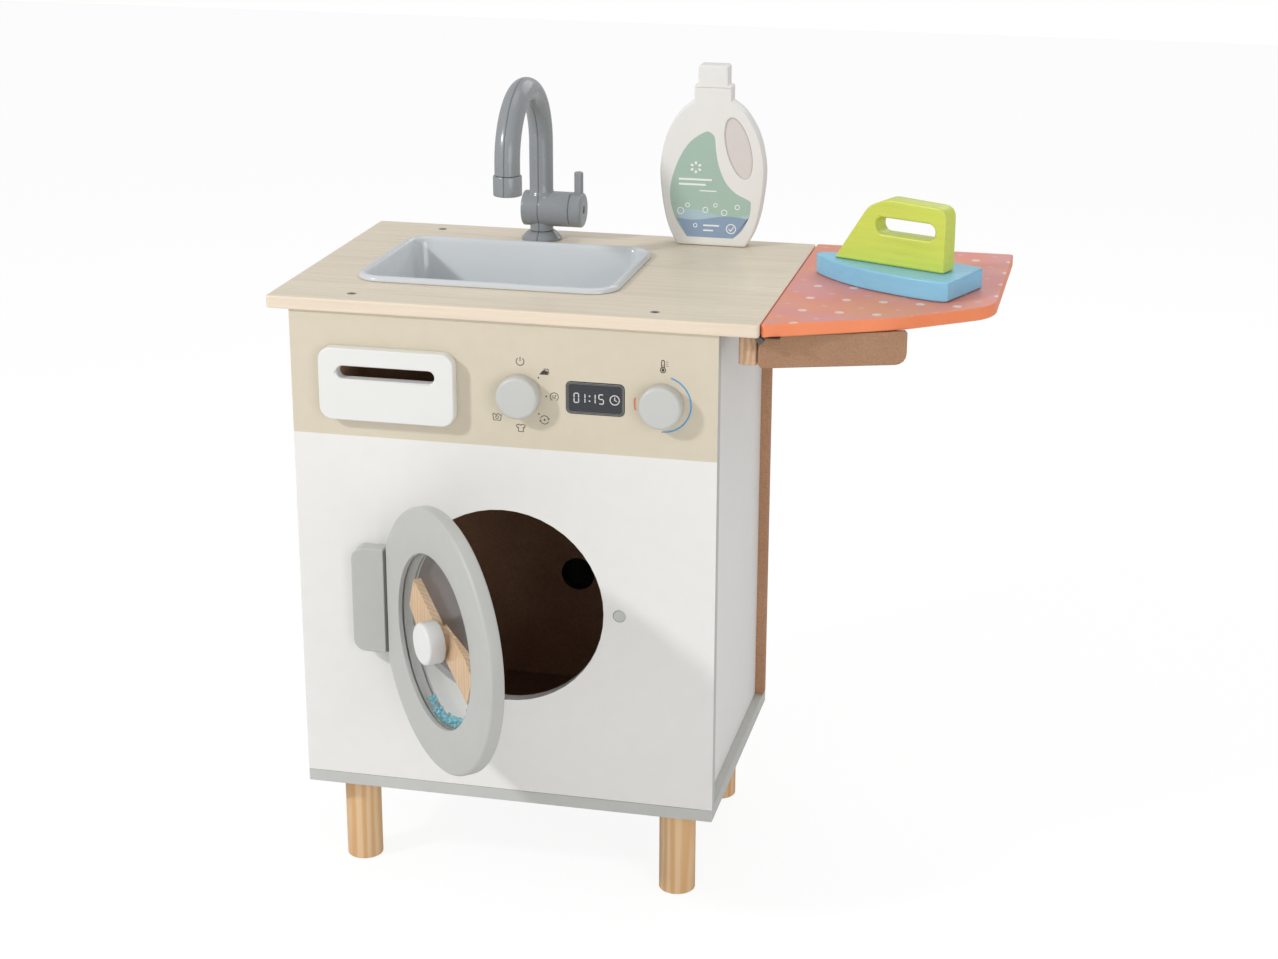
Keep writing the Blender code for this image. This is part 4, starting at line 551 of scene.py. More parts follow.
def glassy_bead():
    finish = Finish("bead_look", roughness=0.18, Transmission_Weight=0.1, IOR=1.49)
    cloud = finish.noise(180, 2)
    finish.colour(finish.mix(cloud, tint(72, 190, 214), tint(120, 216, 232)))
    finish.roughness(finish.between(cloud, 0.3, 0.7, 0.12, 0.26))
    return finish.material


def tap_plastic():
    """Glossy grey plastic with the parting line of its two halves along the middle."""
    finish = Finish("tap_look", roughness=0.24, Specular_IOR_Level=0.55)
    colour = tint(143, 147, 150)
    flow = finish.noise(26, 3)
    offset = finish.maths("ABSOLUTE", finish.axis("X"))
    line = finish.between(offset, 0.0009, 0.0004)
    body = finish.mix(flow, shade(colour, 0.96), shade(colour, 1.04))
    finish.colour(finish.mix(finish.maths("MULTIPLY", line, 0.8), body, shade(colour, 0.45)))
    finish.roughness(finish.between(finish.noise(180, 4), 0.45, 0.75, 0.2, 0.3))
    finish.bump(finish.maths("SUBTRACT", 1.0, line), 0.4, 0.0002)
    return finish.material


def dial_print():
    """The heat scale's ink: orange to red on the left, blue to violet on the right."""
    finish = Finish("heat_scale_ink", roughness=0.5)
    height = finish.axis("Z")
    right = finish.between(finish.axis("X"), 0.0, 0.001)
    cool = finish.mix(finish.between(height, -0.026, -0.012), tint(108, 106, 168), tint(88, 160, 208))
    warm = finish.mix(finish.between(height, -0.006, 0.006), tint(236, 150, 96), tint(218, 84, 74))
    speckle = finish.noise(500, 2)
    finish.colour(finish.mix(finish.between(speckle, 0.55, 0.8, 0.0, 0.25), finish.mix(right, warm, cool),
                             tint(216, 207, 188)))
    return finish.material


def ink(name, colour, paper, wear=0.25):
    """Pad-printed ink whose thin spots let the paint below through."""
    finish = Finish(name, roughness=0.5)
    thin = finish.between(finish.noise(650, 3, 0.6), 0.52, 0.75, 0.0, wear)
    finish.colour(finish.mix(thin, colour, paper))
    finish.roughness(finish.between(thin, 0.0, 1.0, 0.45, 0.6))
    return finish.material


def display_glass():
    finish = Finish("display_look", roughness=0.2, Coat_Weight=0.5, Coat_Roughness=0.08)
    dust = finish.noise(420, 4, 0.7)
    finish.colour(finish.mix(finish.between(dust, 0.6, 0.8), tint(38, 40, 47), tint(52, 54, 62)))
    finish.roughness(finish.between(dust, 0.5, 0.8, 0.2, 0.36))
    return finish.material


# Mesh makers
def added(name, data):
    """A new object in the scene that holds the data."""
    obj = bpy.data.objects.new(name, data)
    bpy.context.scene.collection.objects.link(obj)
    return obj


def made_real(obj):
    """The object's shape as a new mesh, with its modifiers applied."""
    bpy.context.view_layer.update()
    return bpy.data.meshes.new_from_object(obj.evaluated_get(bpy.context.evaluated_depsgraph_get()))


def smooth(mesh, limit=35):
    mesh.shade_smooth()
    mesh.set_sharp_from_angle(angle=math.radians(limit))


def mesh_of(name, verts, faces):
    mesh = bpy.data.meshes.new(name)
    mesh.from_pydata(verts, [], faces)
    mesh.validate()
    return mesh


def closed_up(mesh, limit=35):
    bm = bmesh.new()
    bm.from_mesh(mesh)
    bmesh.ops.remove_doubles(bm, verts=bm.verts, dist=1e-6)
    bmesh.ops.recalc_face_normals(bm, faces=bm.faces)
    bm.to_mesh(mesh)
    bm.free()
    smooth(mesh, limit)
    return mesh


def lofted(name, loops, ring=False, limit=35):
    """Skin between loops of equal count. A ring joins its last loop to its first; else both are filled."""
    count = len(loops[0])
    verts = [point for loop in loops for point in loop]
    pairs = list(zip(range(len(loops)), range(1, len(loops))))
    if ring:
        pairs.append((len(loops) - 1, 0))
    faces = [(a * count + i, a * count + (i + 1) % count, b * count + (i + 1) % count, b * count + i)
             for a, b in pairs for i in range(count)]
    if not ring:
        faces.append(tuple(reversed(range(count))))
        faces.append(tuple(range((len(loops) - 1) * count, len(loops) * count)))
    return closed_up(mesh_of(name, verts, faces), limit)


def turned(name, profile, sides=SIDES, closed=False):
    """A shape turned about Z from (radius, height) points. Points on the axis become one point each."""
    verts = []
    rows = []
    for radius, height in profile:
        start = len(verts)
        if radius < 1e-7:
            verts.append((0, 0, height))
            rows.append([start] * sides)
            continue
        for i in range(sides):
            a = 2 * math.pi * i / sides
            verts.append((radius * math.cos(a), radius * math.sin(a), height))
        rows.append([start + i for i in range(sides)])
    links = list(zip(rows, rows[1:]))
    if closed:
        links.append((rows[-1], rows[0]))
    faces = []
    for lower, upper in links:
        for i in range(sides):
            j = (i + 1) % sides
            corners = [lower[i], lower[j], upper[j], upper[i]]
            face = [v for k, v in enumerate(corners) if v != corners[k - 1]]
            if len(face) > 2:
                faces.append(tuple(face))
    return closed_up(mesh_of(name, verts, faces))


def outline_mesh(name, loops, thickness):
    """Closed outlines in XY, filled between outer edge and holes, from z = 0 up to the thickness."""
    curve = bpy.data.curves.new(name, "CURVE")
    curve.dimensions = "2D"
    curve.fill_mode = "BOTH"
    curve.extrude = thickness / 2
    for loop in loops:
        spline = curve.splines.new("POLY")
        spline.points.add(len(loop) - 1)
        for point, (x, y) in zip(spline.points, loop):
            point.co = (x, y, 0, 1)
        spline.use_cyclic_u = True
    holder = added(name, curve)
    mesh = made_real(holder)
    bpy.data.objects.remove(holder, do_unlink=True)
    bm = bmesh.new()
    bm.from_mesh(mesh)
    bmesh.ops.remove_doubles(bm, verts=bm.verts, dist=1e-5)
    bmesh.ops.dissolve_limit(bm, angle_limit=math.radians(0.3), verts=bm.verts, edges=bm.edges)
    bmesh.ops.translate(bm, vec=(0, 0, thickness / 2), verts=bm.verts)
    bm.to_mesh(mesh)
    bm.free()
    return closed_up(mesh)


def angles(step, first, last):
    """Every whole number of degree steps from the first up to, not including, the last, in radians."""
    return [math.radians(step * k) for k in range(first, last)]


def arc(x, y, radius, start, end, steps):
    angles = [start + (end - start) * i / steps for i in range(steps + 1)]
    return [(x + radius * math.cos(a), y + radius * math.sin(a)) for a in angles]


def circle(x, y, radius, sides):
    return arc(x, y, radius, 0, 2 * math.pi, sides)[:-1]


def rounded(corners, steps=CORNER_STEPS):
    """A closed outline through (x, y, radius) corners, with an arc of that radius at each."""
    points = []
    for i, (x, y, radius) in enumerate(corners):
        corner = Vector((x, y))
        before = (Vector(corners[i - 1][:2]) - corner).normalized()
        after = (Vector(corners[(i + 1) % len(corners)][:2]) - corner).normalized()
        half = before.angle(after) / 2
        if radius == 0:
            points.append((x, y))
            continue
        centre = corner + (before + after).normalized() * radius / math.sin(half)
        first = corner + before * radius / math.tan(half) - centre
        last = corner + after * radius / math.tan(half) - centre
        turn = first.angle_signed(last)
        for k in range(steps + 1):
            spoke = first.copy()
            spoke.rotate(Matrix.Rotation(-turn * k / steps, 2))
            points.append(tuple(centre + spoke))
    return points


def rounded_rectangle(x, y, width, height, radius, steps=CORNER_STEPS):
    half_width = width / 2
    half_height = height / 2
    return rounded([(x - half_width, y - half_height, radius), (x + half_width, y - half_height, radius),
                    (x + half_width, y + half_height, radius), (x - half_width, y + half_height, radius)],
                   steps)


def flowing(points, steps):
    """A smooth open line through the points, ends included."""
    line = []
    count = len(points)
    for i in range(count - 1):
        p0, p1, p2, p3 = (Vector(points[min(max(k, 0), count - 1)]) for k in range(i - 1, i + 3))
        for k in range(steps):
            t = k / steps
            line.append(tuple((2 * p1 + (p2 - p0) * t + (2 * p0 - 5 * p1 + 4 * p2 - p3) * t ** 2
                               + (3 * p1 - p0 - 3 * p2 + p3) * t ** 3) / 2))
    line.append(tuple(points[-1]))
    return line


def quarter(x, z, radius, start, steps=ROUND_STEPS):
    """A quarter of a circle about (x, z), as (radius, height) points, turning clockwise from the start."""
    return [(x + radius * math.cos(math.radians(start - 90 * k / steps)),
             z + radius * math.sin(math.radians(start - 90 * k / steps))) for k in range(steps + 1)]


def moved(mesh, matrix):
    mesh.transform(matrix)
    return mesh


def joined(name, meshes):
    bm = bmesh.new()
    for mesh in meshes:
        bm.from_mesh(mesh)
    whole = bpy.data.meshes.new(name)
    bm.to_mesh(whole)
    bm.free()
    smooth(whole, 40)
    return whole


def swept(name, route, radii):
    """A round bar along a route in the YZ plane."""
    loops = []
    for i, ((y, z), radius) in enumerate(zip(route, radii)):
        along = (Vector(route[min(i + 1, len(route) - 1)]) - Vector(route[max(i - 1, 0)])).normalized()
        loops.append([(radius * math.sin(a), y - radius * math.cos(a) * -along.y,
                       z + radius * math.cos(a) * -along.x)
                      for a in (2 * math.pi * k / SIDES for k in range(SIDES))])
    return lofted(name, loops)


def facing_front(x, y, z):
    """Turns a piece's Z towards the front, -Y."""
    return Matrix.Translation((x, y, z)) @ UP_TO_FRONT


def upright(front, thickness):
    """Stands an outline up: its Y becomes height and its thickness runs back from the front."""
    return Matrix.Translation((0, front + thickness, 0)) @ UP_TO_FRONT


def own_turn(name):
    """A turn about Z that differs from name to name, so that no two of a kind look alike."""
    return Matrix.Rotation(sum(map(ord, name)), 4, "Z")


# Pieces
def bevelled(obj, width, segments):
    bevel = obj.modifiers.new("rounded_edges", "BEVEL")
    bevel.width = width
    bevel.segments = segments
    bevel.limit_method = "ANGLE"
    bevel.angle_limit = math.radians(60)
    bevel.use_clamp_overlap = False
    return bevel


def piece(name, mesh, finish, body, matrix=None, stands_for=(), edge=0.0, segments=4):
    """A finished piece on a body; an edge width rounds its sharp edges."""
    obj = added(name, mesh)
    mesh.materials.clear()
    mesh.materials.append(finish)
    if matrix is not None:
        obj.matrix_world = matrix
    if edge:
        bevelled(obj, edge, segments).harden_normals = True
    bpy.context.view_layer.update()
    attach(obj, body)
    if stands_for:
        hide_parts(*stands_for)
    return obj


def dress(finish, *names):
    """Gives CAD nodes a better material in their slots."""
    for name in names:
        for slot in NODES[name].material_slots:
            slot.material = finish


# Prints, drawn flat in millimetres and laid on a face as a thin film
class Print:
    """Strokes and filled shapes that lie in one plane, X to the right and Y up, in millimetres."""

    def __init__(self):
        self.verts = []
        self.faces = []

    def fill(self, points):
        start = len(self.verts)
        self.verts += [(x / 1000, y / 1000, 0) for x, y in points]
        self.faces.append(tuple(range(start, start + len(points))))

    def stroke(self, points, width, closed=False):
        path = [Vector(point) for point in points]
        count = len(path)
        sides = ([], [])
        for i, point in enumerate(path):
            before = path[i - 1] if i or closed else None
            after = path[(i + 1) % count] if i < count - 1 or closed else None
            along_in = (point - before).normalized() if before is not None else None
            along_out = (after - point).normalized() if after is not None else None
            first = along_in or along_out
            second = along_out or along_in
            across = Vector((-(first + second).y, (first + second).x)).normalized()
            stretch = max(across.dot(Vector((-first.y, first.x))), 0.5)
            for side, sign in zip(sides, (1, -1)):
                side.append(point + across * sign * width / 2 / stretch)
        for i in range(count if closed else count - 1):
            j = (i + 1) % count
            self.fill([sides[0][i], sides[1][i], sides[1][j], sides[0][j]])

    def ring(self, x, y, radius, width, start=0, end=360, steps=28):
        points = arc(x, y, radius, math.radians(start), math.radians(end), steps)
        self.stroke(points, width)

    def dot(self, x, y, radius, steps=16):
        self.fill(circle(x, y, radius, steps))

    def mesh(self, name):
        mesh = mesh_of(name, self.verts, self.faces)
        bm = bmesh.new()
        bm.from_mesh(mesh)
        bmesh.ops.remove_doubles(bm, verts=bm.verts, dist=1e-6)
        for face in bm.faces:
            if face.normal.z < 0:
                face.normal_flip()
        bm.to_mesh(mesh)
        bm.free()
        return mesh


def film(name, drawing, finish, body, matrix):
    """A print as a thin closed film, mostly above its face."""
    obj = piece(name, drawing.mesh(name), finish, body, matrix)
    solid = obj.modifiers.new("film", "SOLIDIFY")
    solid.thickness = FILM_THICKNESS
    solid.offset = FILM_OFFSET
    return obj


# Cabinet
def cabinet_finishes():
    raw = fibreboard("fibreboard_look", tint(184, 145, 116), tint(160, 122, 95))
    inside = fibreboard("cabinet_inside_look", tint(196, 152, 120), tint(162, 122, 95))
    dress(front_paint(), "front_panel")
    dress(side_paint(), "left_side_panel", "right_side_panel")
    dress(base_paint(), "base_board")
    dress(laminate(), "worktop")
    dress(inside, "back_panel")
    dress(raw, "support_bracket", "drawer_tray")
    beam = wood("pine_beam_look", tint(226, 192, 152), tint(196, 151, 108), 60, "X")
    short_beam = wood("pine_batten_look", tint(214, 181, 148), tint(180, 138, 104), 60, "Y")
    dress(beam, "front_cleat", "rear_cleat")
    dress(short_beam, "left_drawer_runner", "right_drawer_runner", "board_batten")
    dress(wood("paddle_look", tint(230, 194, 152), tint(214, 172, 128), 75, "Z"), "agitator_paddle")
    dress(brushed("hinge_steel_look", tint(118, 116, 112), 0.4), "door_hinge_fixed_leaf",
          "door_hinge_moving_leaf", "front_board_hinge_fixed_leaf", "front_board_hinge_moving_leaf",
          "rear_board_hinge_fixed_leaf", "rear_board_hinge_moving_leaf", "bracket_hinge_fixed_leaf",
          "bracket_hinge_moving_leaf")
    dress(brushed("spindle_steel_look", tint(176, 176, 172)), "agitator_axle", "program_dial_spindle",
          "temperature_dial_spindle", "door_catch_plate")


def legs():
    finish = wood("leg_pine_look", tint(230, 196, 154), tint(216, 170, 120), 34, "Z", 0.45)
    chamfer = 0.0012
    for name in ("front_left_leg", "front_right_leg", "rear_left_leg", "rear_right_leg"):
        low, high = ends(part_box(name))
        radius = (high.x - low.x) / 2
        foot = quarter(radius - chamfer, chamfer, chamfer, 0, 4)
        profile = [(0, LEG_TOP), (radius, LEG_TOP)] + foot + [(0, 0)]
        spot = Matrix.Translation(((low.x + high.x) / 2, (low.y + high.y) / 2, 0)) @ own_turn(name)
        piece(name + "_turned", turned(name, profile), finish, "cabinet", spot, (name,))


def phillips_head(radius, depth):
    """A flat screw head with a cross recess that narrows towards its floor."""
    arm = radius * 0.62
    half = radius * 0.17
    ease = depth * 0.12
    steps = 48
    top = []
    rim = []
    slot = []
    for i in range(steps):
        a = 2 * math.pi * i / steps
        ray = Vector((math.cos(a), math.sin(a)))
        reach = min(half / max(min(abs(ray.x), abs(ray.y)), 1e-9), arm)
        rim.append((*(ray * radius), -ease))
        top.append((*(ray * (radius - ease)), 0))
        slot.append((*(ray * reach), 0))
    floor = [(x * 0.7, y * 0.7, -depth * 0.62) for x, y, _ in slot]
    skirt = [(x * 0.93, y * 0.93, -depth * 0.6) for x, y, _ in rim]
    return lofted("phillips_head", [skirt, rim, top, slot, floor], limit=30)


def screws():
    finish = brushed("screw_look", tint(150, 148, 144), 0.35)
    for name in ("front_left", "front_right", "rear_left", "rear_right"):
        node = "worktop_screw_" + name
        low, high = ends(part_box(node))
        spot = Matrix.Translation(((low.x + high.x) / 2, (low.y + high.y) / 2, high.z))
        head = phillips_head((high.x - low.x) / 2, SCREW_DEPTH)
        piece(node + "_head", head, finish, "cabinet", spot @ own_turn(name), (node,))


def hole_cap():
    """The blanking cap with its hollow cup."""
    low, high = ends(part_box("back_hole_cap"))
    middle = (low + high) / 2
    flange = (high.x - low.x) / 2
    body = 0.0175
    cup = 0.016
    length = high.y - low.y - CAP_THICKNESS
    profile = [(0, 0), (cup, 0), (cup, length), (body, length), (body, 0), (flange, 0),
               (flange, -CAP_THICKNESS), (0, -CAP_THICKNESS)]
    spot = facing_front(middle.x, high.y - CAP_THICKNESS, middle.z)
    piece("back_hole_cap_moulded", turned("cap", profile), moulded("cap_look", tint(22, 22, 23), 0.35),
          "cabinet", spot, ("back_hole_cap",))


def catch_magnet():
    """The catch's magnet in its pocket, set back inside a narrow rim."""
    low, high = ends(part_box("catch_magnet"))
    soft = 0.001
    sunk = 0.0002
    radius = (high.x - low.x) / 2
    length = high.y - low.y
    profile = [(0, length)] + quarter(radius - soft, length - soft, soft, 90) + [(radius, 0), (0, 0)]
    collar = [(radius - 0.0014, length + 0.00015), (radius - 0.0022, length - sunk), (0, length - sunk)]
    piece("catch_magnet_cup", turned("magnet", collar[::-1] + profile[1:]),
          moulded("catch_look", tint(196, 199, 192), 0.4), "cabinet",
          facing_front((low.x + high.x) / 2, high.y, (low.z + high.z) / 2), ("catch_magnet",))


# Sink
def sink_plastic():
    """Glossy grey plastic with faint scuffs."""
    finish = Finish("sink_look", Specular_IOR_Level=0.5, Coat_Weight=0.5, Coat_Roughness=0.08)
    colour = tint(207, 211, 214)
    speckle = finish.noise(900, 2)
    scuffs = finish.noise(70, 5, 0.7)
    finish.tones(finish.noise(14, 3), colour, 0.97, 1.03)
    finish.roughness(finish.between(scuffs, 0.45, 0.8, 0.14, 0.24))
    finish.bump(speckle, 0.2, PEEL_DEPTH)
    return finish.material


def sink():
    """A basin with a rounded rim: its section runs up the outside, over the rim and down to the floor."""
    low, high = ends(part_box("sink_basin"))
    middle = (low + high) / 2
    width = high.x - low.x
    length = high.y - low.y
    under = WORKTOP_TOP + SEAM
    floor = WORKTOP_TOP - SINK_DEPTH
    neck = SINK_RIM_WIDTH - SINK_WALL + SINK_PLAY
    rim = SINK_RIM_WIDTH

    section = [(neck + SINK_DRAFT + SINK_FLOOR_ROUND, floor - SINK_WALL)]
    section += [(neck + SINK_DRAFT + SINK_FLOOR_ROUND * (1 - math.sin(a)),
                 floor - SINK_WALL + SINK_FLOOR_ROUND * (1 - math.cos(a)))
                for a in angles(15, 1, 7)]
    ease = 0.0006
    section += [(neck, under - 0.0004), (ease, under - 0.0001), (0, under + ease)]
    section += [(rim / 2 - rim / 2 * math.cos(a), under + ease + (SINK_RIM_HEIGHT - ease) * math.sin(a))
                for a in angles(15, 1, 12)]
    inner = neck + SINK_WALL
    section += [(inner + 0.0002, under - 0.0008)]
    wall_low = inner + SINK_DRAFT
    section += [(wall_low + SINK_FLOOR_ROUND * (1 - math.cos(a)),
                 floor + SINK_FLOOR_ROUND * (1 - math.sin(a))) for a in angles(15, 0, 7)]
    loops = []
    for inset, z in section:
        corner = max(SINK_CORNER - inset, SINK_CORNER / 3)
        loops.append([(x, y, z) for x, y in rounded_rectangle(middle.x, middle.y, width - 2 * inset,
                                                               length - 2 * inset, corner, 14)])
    piece("sink_basin_drawn", lofted("sink", loops, limit=40), sink_plastic(), "cabinet",
          stands_for=("sink_basin",))


# Drum door
HINGE_X = DRUM_X - DOOR_CHORD - HINGE_GAP / 2
HINGE_Y = -DOOR_STAND_OFF + HINGE_SETBACK
DOOR = TOY @ Matrix.Translation((HINGE_X, HINGE_Y, 0)) @ Matrix.Rotation(-DOOR_OPEN_ANGLE, 4, "Z")
DOOR_MIDDLE = DRUM_X - HINGE_X
DOOR_FACE = DOOR @ facing_front(DOOR_MIDDLE, -HINGE_SETBACK, DRUM_Z)


def door_angles():
    """Directions round the door's middle, with one at each end of its straight left edge."""
    cut = math.acos(DOOR_CHORD / DOOR_RADIUS)
    straight = 14
    round_steps = FINE_SIDES - straight
    first = math.pi + cut
    last = 3 * math.pi - cut
    return ([first + (last - first) * i / round_steps for i in range(round_steps)]
            + [last + 2 * cut * i / straight for i in range(straight)])


def door_loop(depth, inset=None, radius=None):
    """A loop of the door at a depth: its own outline, set in, or a circle."""
    loop = []
    for a in door_angles():
        reach = radius
        if radius is None:
            reach = DOOR_RADIUS - inset
            if math.cos(a) < 0:
                reach = min(reach, (DOOR_CHORD - inset) / -math.cos(a))
        loop.append((reach * math.cos(a), reach * math.sin(a), -depth))
    return loop


def ring_section(inner, outer, front, back, edge=0.0004):
    """A closed ring profile with small rounded edges, for turned()."""
    return [(inner, front - edge), (inner + edge, front), (outer - edge, front), (outer, front - edge),
            (outer, back + edge), (outer - edge, back), (inner + edge, back), (inner, back + edge)]


def door_finish():
    colour = tint(187, 188, 184)
    finish = Finish("door_look", Specular_IOR_Level=0.45)
    mottle = finish.noise(55, 4)
    finish.tones(mottle, colour, 0.97, 1.03)
    return finish.lacquered((16, 4), 0.38, 0.48, (800, 2), 0.25, 0.00005)


def door_part(node, profile, finish, closed=True):
    """A turned part of the door that stands for its node."""
    mesh = turned(node, profile, FINE_SIDES, closed)
    piece(node + "_fine", mesh, finish, "door", DOOR_FACE, (node,))


def door_ring(paint):
    """The rounded outer ring. Its turn is in its mesh, so that its box is exact."""
    rounds = DOOR_EDGE_ROUND
    steps = angles(15, 0, 7)
    lip = 0.0008
    loops = [door_loop(WINDOW_LIP, radius=WINDOW_RADIUS), door_loop(lip, radius=WINDOW_RADIUS),
             door_loop(lip * 0.3, radius=WINDOW_RADIUS + lip * 0.3),
             door_loop(0, radius=WINDOW_RADIUS + lip)]
    loops += [door_loop(rounds * (1 - math.cos(a)), inset=rounds * (1 - math.sin(a))) for a in steps]
    loops += [door_loop(DOOR_THICKNESS - rounds * (1 - math.sin(a)), inset=rounds * (1 - math.cos(a)))
              for a in steps]
    loops += [door_loop(DOOR_THICKNESS, radius=WINDOW_SEAT_RADIUS),
              door_loop(WINDOW_LIP, radius=WINDOW_SEAT_RADIUS)]
    piece("door_ring_fine", moved(lofted("door_ring", loops, ring=True), DOOR_FACE), paint, "door",
          stands_for=("door_ring",))


def drum_door():
    paint = door_finish()
    door_ring(paint)
    glass = clear_plastic()
    pane = WINDOW_SEAT_RADIUS - SEAM
    front = WINDOW_LIP + SEAM
    spacer = front + FRONT_PANE_THICKNESS + SEAM
    rear = spacer + PANE_SPACING - SEAM
    lip_depth = rear + REAR_PANE_THICKNESS + SEAM
    door_part("front_pane", ring_section(SPINDLE_RADIUS + SEAM, pane, -front, -front - FRONT_PANE_THICKNESS,
                                         0.0002), glass)
    door_part("rear_pane", [(0, -rear), (pane, -rear), (pane, -rear - REAR_PANE_THICKNESS),
                            (0, -rear - REAR_PANE_THICKNESS)], glass, False)
    door_part("drum_ring", ring_section(WINDOW_RADIUS, pane, -spacer, -spacer - PANE_SPACING + 2 * SEAM),
              paint)
    back = -DOOR_THICKNESS - SEAM
    end = -lip_depth - BACK_RING_LIP
    edge = 0.0008
    profile = [(WINDOW_SEAT_RADIUS, back), (BACK_RING_RADIUS, back), (BACK_RING_RADIUS, end + edge),
               (BACK_RING_RADIUS - edge * 0.3, end + edge * 0.3), (BACK_RING_RADIUS - edge, end),
               (WINDOW_RADIUS + edge, end), (WINDOW_RADIUS, end + edge), (WINDOW_RADIUS, -lip_depth),
               (WINDOW_SEAT_RADIUS, -lip_depth)]
    door_part("door_back_ring", profile, paint)
    beads(spacer)
    hinge_block(paint)


def beads(chamber):
    """Loose plastic beads that lie at the bottom between the panes; a few cling near the right."""
    draw = random.Random(BEAD_SEED)
    inner = BEAD_HEAP_TOP + BEAD_RADIUS
    outer = WINDOW_RADIUS - SEAM - BEAD_RADIUS
    low = chamber + BEAD_RADIUS
    high = chamber + PANE_SPACING - 2 * SEAM - BEAD_RADIUS
    centres = []
    for middle, spread, wanted in BEAD_GROUPS:
        placed = 0
        for attempt in range(BEAD_ATTEMPTS):
            if placed == wanted:
                break
            a = math.radians(middle + draw.uniform(-spread, spread))
            reach = math.sqrt(draw.uniform(inner ** 2, outer ** 2))
            spot = Vector((reach * math.cos(a), reach * math.sin(a), -draw.uniform(low, high)))
            if all((spot - other).length > BEAD_SPACING * BEAD_RADIUS for other in centres):
                centres.append(spot)
                placed += 1
    bm = bmesh.new()
    for spot in centres:
        size = draw.uniform(0.9, 1.0)
        bmesh.ops.create_icosphere(bm, subdivisions=2, radius=BEAD_RADIUS * size,
                                   matrix=Matrix.Translation(spot))
    mesh = bpy.data.meshes.new("beads")
    bm.to_mesh(mesh)
    bm.free()
    mesh.shade_smooth()
    piece("loose_beads", mesh, glassy_bead(), "door", DOOR_FACE, ("bead_heap",))


def hinge_block(paint):
    low, high = ends(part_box("door_hinge_block"))
    corner = 0.012
    outline = rounded([(low.x, low.z, corner), (high.x, low.z, 0), (high.x, high.z, 0),
                       (low.x, high.z, corner)])
    thickness = high.y - low.y
    piece("door_hinge_block_fine", outline_mesh("block", [outline], thickness), paint, "cabinet",
          upright(low.y, thickness), ("door_hinge_block",), EDGE_ROUND)


# Knobs
def knob_profile(radius, length, front_round, back_round, foot=0.0):
    """A knob from its front centre down its side to its foot, its face very slightly domed."""
    dome = 0.0002
    flat = radius - front_round
    profile = [(0, length)] + [(flat * k / 4, length - dome * (k / 4) ** 2) for k in range(1, 4)]
    profile += [(r, h - dome * (1 - k / ROUND_STEPS))
                for k, (r, h) in enumerate(quarter(flat, length - front_round, front_round, 90))]
    profile += [(radius, foot + back_round), (radius - back_round * 0.3, foot + back_round * 0.3),
                (radius - back_round, foot), (0, foot)]
    return profile


def knobs():
    grey = moulded("dial_look", tint(198, 199, 195), 0.4)
    white = moulded("door_knob_look", tint(228, 228, 226), 0.38)
    for node, body in (("program_dial", "program_knob"), ("temperature_dial", "temperature_knob")):
        low, high = ends(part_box(node))
        spot = facing_front((low.x + high.x) / 2, high.y, (low.z + high.z) / 2)
        profile = knob_profile(KNOB_RADIUS, high.y - low.y, KNOB_ROUND, 0.001)
        piece(node + "_fine", turned(node, profile, FINE_SIDES), grey, body, spot, (node,))
    profile = knob_profile(KNOB_RADIUS, DOOR_KNOB_PROUD, KNOB_ROUND, 0.0008, -WINDOW_LIP)
    piece("door_knob_fine", turned("door_knob", profile, FINE_SIDES), white, "agitator",
          DOOR_FACE, ("door_knob",))


# Drawer and front panel prints, whose circles are given in millimetres
ICON_CIRCLE = 31.5
TICK_CIRCLE = 24
SCALE_CIRCLE = 25.7


def drawer():
    low, high = ends(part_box("drawer_front"))
    middle = (low + high) / 2
    slot_width, slot_height = DRAWER_SLOT
    slot = rounded_rectangle(middle.x, middle.z + DRAWER_SLOT_RISE, slot_width, slot_height,
                             slot_height / 2 - 0.0001)
    outline = rounded_rectangle(middle.x, middle.z, high.x - low.x, high.z - low.z, DRAWER_CORNER)
    paint = painted("drawer_look", tint(229, 229, 226), 0.4, 0.012)
    thickness = high.y - low.y
    piece("drawer_front_fine", outline_mesh("drawer_front", [outline, slot], thickness), paint, "drawer",
          upright(low.y, thickness), ("drawer_front",), EDGE_ROUND)


def power_icon(art):
    art.ring(0, 31, 3.6, 0.75, 125, 415)
    art.stroke([(0, 31.2), (0, 35.4)], 0.75)


def iron_icon(art, x, y):
    sole = [(-4.6, -2.2), (3.8, -2.2), (3.4, 1.0), (0.4, 2.4), (-1.6, 1.4)]
    art.fill([(x + u, y + v) for u, v in sole])
    art.stroke([(x - 0.6, y + 3.1), (x + 3.6, y + 3.1), (x + 4.4, y - 1.0)], 0.7)


def shirt_icon(art, x, y, size=1.0):
    points = [(-1.7, 3.6), (-4.2, 2.4), (-3.4, 0.2), (-2.3, 0.7), (-2.3, -3.4), (2.3, -3.4), (2.3, 0.7),
              (3.4, 0.2), (4.2, 2.4), (1.7, 3.6), (0.0, 2.6)]
    art.stroke([(x + u * size, y + v * size) for u, v in points], 0.65 * size, True)


def tub_icon(art, x, y):
    art.stroke([(x - 4, y + 2.6), (x - 3.3, y - 3.4), (x + 3.3, y - 3.4), (x + 4, y + 2.6)], 0.65)
    wave = [(x - 4 + 8 * k / 16, y + 2.2 + 0.7 * math.sin(k * math.pi / 4)) for k in range(17)]
    art.stroke(wave, 0.65)
    art.ring(x, y - 0.6, 1.3, 0.6)


